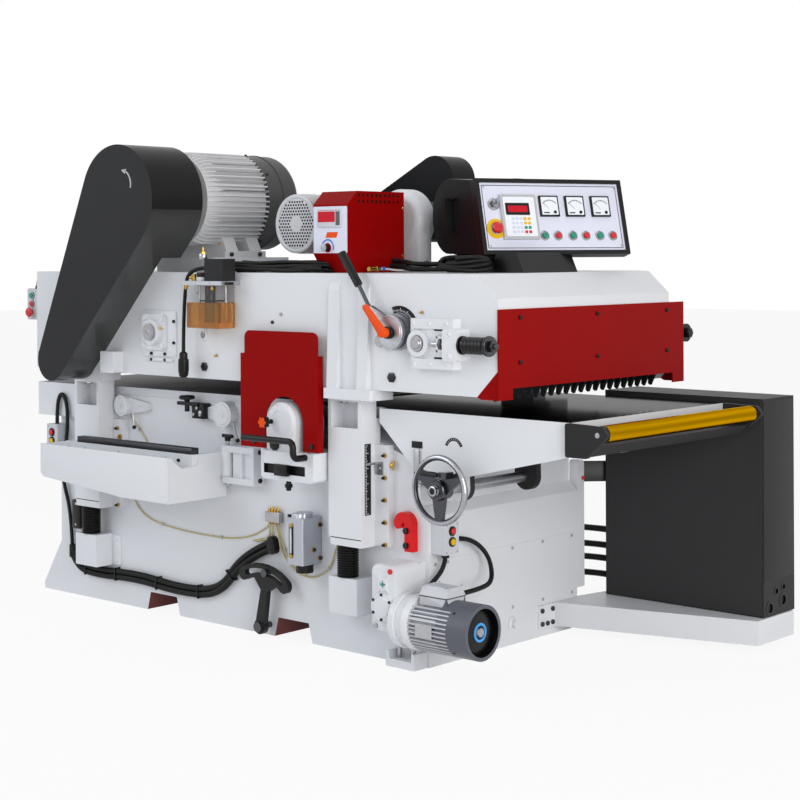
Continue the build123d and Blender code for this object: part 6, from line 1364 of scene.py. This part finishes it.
base_bezels = Piece("base_station_bezels", "base", black_plastic)
for z in (446, 411):
    base_bezels.add(ring((1032, -361.5, z), INFEED, 11.4, 16, 4.5, 24))
for z in (644, 610):
    base_bezels.add(ring((-952, -469, z), FRONT, 11.4, 16, 4.5, 24))
base_bezels.add(rod((1004, -327, 412), (1004, -313, 412), 13, sides=6))
base_bezels.add(upright(1004, -362, 371, 356, 13, sides=6))
base_bezels.done()
head_bezels = Piece("head_station_bezels", "head", black_plastic)
for z in (1187, 1154):
    head_bezels.add(ring((-1016.5, HEAD_SIDE, z), FRONT, 11.4, 15, 3.5, 24))
head_bezels.done()

# Handwheel's nose
NOSE = (WHEEL_X, -556, WHEEL_Z)
nose = Piece("wheel_nose", "handwheel", chrome)
nose.add(turned([(0, 0.6), (15, 0.6), (18.5, -1.5), (19.6, -5), (19.6, -16), (24, -16)], NOSE, FRONT, 36))
nose.add(turned([(0, 1.2), (10, 1.2), (11, 0.4)], NOSE, FRONT, 24), black_plastic)
nose.add(turned([(19.6, -15.5), (30.4, -15.5), (33, -19), (33, -30)], NOSE, FRONT, 36), wheel_dark)
nose.done()

# Quadrant: pivot washer and lock bolt
quad = Piece("quadrant_bolts", "tension_quadrant", tool_steel)
quad.add(ring((230, -462, 38), FRONT, 8, 18, 3))
quad.add(hex_head((230, -463, 38), FRONT, 12, 9))
quad.done()

# Cabinet: door, cable duct and inlet rings
cabinet = Piece("cabinet_door", "base", cabinet_grey)
cabinet.add(cuboid((1674.5, 1677), (508, 707), (232, 842), 1))
cabinet.done()
duct = Piece("cabinet_duct", "base", black_plastic)
duct.add(slab([(938, 455), (960, 455), (1031, 530), (1031, 544)], 516, 590, bevel=2))
duct.done()
inlets = Piece("cabinet_glands", "base", black_plastic)
for y, z, radius in ((548, 138, 18), (637, 154, 18), (592, 190, 11), (640, 198, 11)):
    inlets.add(ring((1673, y, z), INFEED, radius - 2, radius * 1.45, 3.5, 28))
inlets.done()

# Control panel: keypad on its unit
places = [panel_local(vertex.co / MM) for vertex in nodes["control_panel"].data.vertices]
KEYS = panel_plane(max(out for across, up, out in places if -200 < across < -63 and abs(up) < 85))
keypad = Piece("keypad_face", "head", mark_grey)
keypad.add(slab(rounded((-198, -65), (-79, 73), 8), -2, 0.8, KEYS, 0.6))
keypad.add(slab(rounded((-190, -73), (-71, 65), 5), 0, 1.4, KEYS), meter_white)
keypad.add(slab(rounded((-184, -94), (2, 44), 3), 0, 2.0, KEYS), black_plastic)
keypad.add(slab(rounded((-174, -102), (12, 34), 2), 0, 2.4, KEYS), display_red)
for row, special in enumerate((yellow_plastic, yellow_plastic, green_plastic, red_plastic)):
    for column in range(5):
        left = -166 + 15 * column
        top = -6 - 15 * row
        key = slab(rounded((left, left + 11), (top - 10, top), 2, 3), 0, 2.6, KEYS, 0.5)
        keypad.add(key, pale_key if column < 3 else special)
keypad.done()

# Control panel: border, screws, meters and bezels on the recessed face
RECESSED = panel_plane(-PANEL_RECESS)
HALF_WIDTH = PANEL_WIDTH / 2 - PANEL_FRAME
HALF_HEIGHT = PANEL_HEIGHT / 2 - PANEL_FRAME
LINE_WIDTH = HALF_WIDTH - 8
LINE_HEIGHT = HALF_HEIGHT - 8


def on_panel(part, across, up):
    """Shape made about +Z, moved onto the panel's recessed face."""
    bmesh.ops.transform(part, matrix=RECESSED @ Matrix.Translation((across, up, 0)), verts=part.verts)
    return part


panel = Piece("panel_dressing", "head", black_plastic)
for edge in (-1, 1):
    level = edge * (LINE_HEIGHT - 1)
    panel.add(slab(oblong((-LINE_WIDTH, LINE_WIDTH), (level - 1, level + 1)), 0, 0.8, RECESSED))
    level = edge * (LINE_WIDTH - 1)
    panel.add(slab(oblong((level - 1, level + 1), (-LINE_HEIGHT, LINE_HEIGHT)), 0, 0.8, RECESSED))
for across in (-HALF_WIDTH + 16, HALF_WIDTH - 16):
    for up in (-HALF_HEIGHT + 16, HALF_HEIGHT - 16):
        panel.add(on_panel(pan_head((0, 0, 0), UP, 4.5, 2.5), across, up), chrome)
for meter in METERS:
    needle = (meter, METER_UP - 14)
    panel.add(slab(rounded((meter - 36, meter + 36), (METER_UP - 36, METER_UP + 36), 4), 0, 9, RECESSED, 1.5))
    glass = rounded((meter - 31, meter + 31), (METER_UP - 31, METER_UP + 31), 3)
    panel.add(slab(glass, 8.5, 9.8, RECESSED), meter_white)
    panel.add(slab(band(*needle, 33, 34.5, 40, 140), 9.6, 10.2, RECESSED))
    for angle in range(42, 139, 12):
        panel.add(slab(band(*needle, 30, 36, angle - 0.7, angle + 0.7, 1), 9.6, 10.3, RECESSED))
    panel.add(slab(band(*needle, 4, 31, 133, 134.6, 1), 9.6, 10.6, RECESSED))
    panel.add(slab(circle(meter + 18, METER_UP - 22, 5.5, 20), 9.6, 12, RECESSED))
    panel.add(slab(rounded((meter - 25, meter - 3), (METER_UP - 26, METER_UP - 22), 1), 9.6, 10.2, RECESSED))
for across in (-42, 9, 66, 117, 171, 222):
    bezel = turned([(13, 0), (17, 0), (17, 3), (14.5, 5), (13, 5)], sides=28)
    panel.add(on_panel(bezel, across, -66), chrome)
panel.add(on_panel(turned([(20, 0), (34, 0), (34, 2), (20, 2)], sides=36), -221.5, -42), yellow_plastic)
panel.add(on_panel(turned([(12, 0), (21, 0), (21, 3), (17, 6), (12, 6)]), -221, 42), chrome)
panel.done()

# Control box behind the panel's left half, with its pull handle
BOX_CORNER = Vector((1000.0, -214.0, 0.0))
BOX_BACK = Vector((-0.9135, 0.4067, 0.0))
BOX_SIDE = frame_of(BOX_CORNER, BOX_BACK, Vector(UP), PANEL_ACROSS)
round_back = []
for turn in range(0, 181, 9):
    up, back = polar(turn, 128.5)
    round_back.append((176 + back, 1473.5 + up))
control_box = Piece("control_box", "head", rear_black)
control_box.add(slab([(20, 1592)] + round_back + [(-40, 1345)], 0.7, 280, BOX_SIDE, 3))
control_box.add(slab(oblong((151, 159), (1412, 1536)), -26, 2, BOX_SIDE), black_plastic)
for z in (1412, 1530):
    control_box.add(slab(oblong((116, 158), (z, z + 6)), -12, 2, BOX_SIDE), black_plastic)
control_box.done()

# Stage: floor, light and camera
FLOOR_SIZE = 30.0
FLOOR_GLOW = 0.9
AMBIENT = 0.38
floor_data = bpy.data.meshes.new("floor")
sheet = bmesh.new()
bmesh.ops.create_grid(sheet, x_segments=1, y_segments=1, size=FLOOR_SIZE)
sheet.to_mesh(floor_data)
sheet.free()
floor = bpy.data.objects.new("floor", floor_data)
scene.collection.objects.link(floor)


def bright_rays(tree):
    """Mask of the rays that see the white surroundings: from the camera, off metal and through glass."""
    seen = tree.nodes.new("ShaderNodeLightPath")
    direct = maths(tree, "MAXIMUM", seen.outputs["Is Camera Ray"], seen.outputs["Is Glossy Ray"])
    return maths(tree, "MAXIMUM", direct, seen.outputs["Is Transmission Ray"])


def mix_shaders(tree, factor, plain, bright, target):
    """Sends a mix of two shaders to an output socket."""
    node = tree.nodes.new("ShaderNodeMixShader")
    for value, socket in zip((factor, plain, bright), node.inputs):
        tree.links.new(value, socket)
    tree.links.new(node.outputs[0], target)


floor_white = bpy.data.materials.new("floor_white")
floor_white.use_nodes = True
tree = floor_white.node_tree
matt = tree.nodes["Principled BSDF"]
matt.inputs["Base Color"].default_value = (0.86, 0.86, 0.87, 1.0)
matt.inputs["Roughness"].default_value = 0.7
glow = tree.nodes.new("ShaderNodeEmission")
glow.inputs["Color"].default_value = (1.0, 1.0, 1.0, 1.0)
share = maths(tree, "MULTIPLY", bright_rays(tree), FLOOR_GLOW)
mix_shaders(tree, share, matt.outputs[0], glow.outputs[0], tree.nodes["Material Output"].inputs["Surface"])
floor_data.materials.append(floor_white)

world = bpy.data.worlds.new("white_studio")
scene.world = world
world.use_nodes = True
tree = world.node_tree
ambient = tree.nodes["Background"]
ambient.inputs["Color"].default_value = (0.97, 0.98, 1.0, 1.0)
ambient.inputs["Strength"].default_value = AMBIENT
backdrop = tree.nodes.new("ShaderNodeBackground")
backdrop.inputs["Color"].default_value = (1.0, 1.0, 1.0, 1.0)
backdrop.inputs["Strength"].default_value = 1.0
mix_shaders(tree, bright_rays(tree), ambient.outputs[0], backdrop.outputs[0],
            tree.nodes["World Output"].inputs["Surface"])


def area_light(name, place, aim, size, power, colour=(1, 1, 1)):
    """Soft oblong light at a place, facing a point."""
    data = bpy.data.lights.new(name, "AREA")
    data.shape = "RECTANGLE"
    data.size = size[0]
    data.size_y = size[1]
    data.energy = power
    data.color = colour
    obj = bpy.data.objects.new(name, data)
    scene.collection.objects.link(obj)
    obj.location = place
    obj.rotation_euler = (Vector(aim) - Vector(place)).to_track_quat("-Z", "Y").to_euler()


area_light("key", (-2.6, -5.2, 3.8), (0.1, -0.3, 0.9), (4.5, 3.5), 126, (0.9, 0.95, 1.0))
area_light("front", (6.2, -2.6, 1.9), (0.6, 0.0, 0.7), (4.0, 3.0), 190, (1.0, 0.99, 0.97))
area_light("top", (0.4, 0.2, 5.2), (0.4, 0.0, 0.8), (5.0, 4.0), 28)

camera_data = bpy.data.cameras.new("photo_camera")
camera_data.lens = CAMERA_LENS
camera_data.sensor_width = CAMERA_SENSOR
camera_data.shift_y = CAMERA_SHIFT
camera = bpy.data.objects.new("photo_camera", camera_data)
scene.collection.objects.link(camera)
facing = Matrix.Rotation(math.radians(CAMERA_TURN), 4, "Z") @ Matrix.Rotation(math.radians(90), 4, "X")
roll = Matrix.Rotation(math.radians(CAMERA_ROLL), 4, "Z")
camera.matrix_world = Matrix.Translation(CAMERA_PLACE) @ facing @ roll
scene.camera = camera
scene.view_settings.view_transform = "Standard"
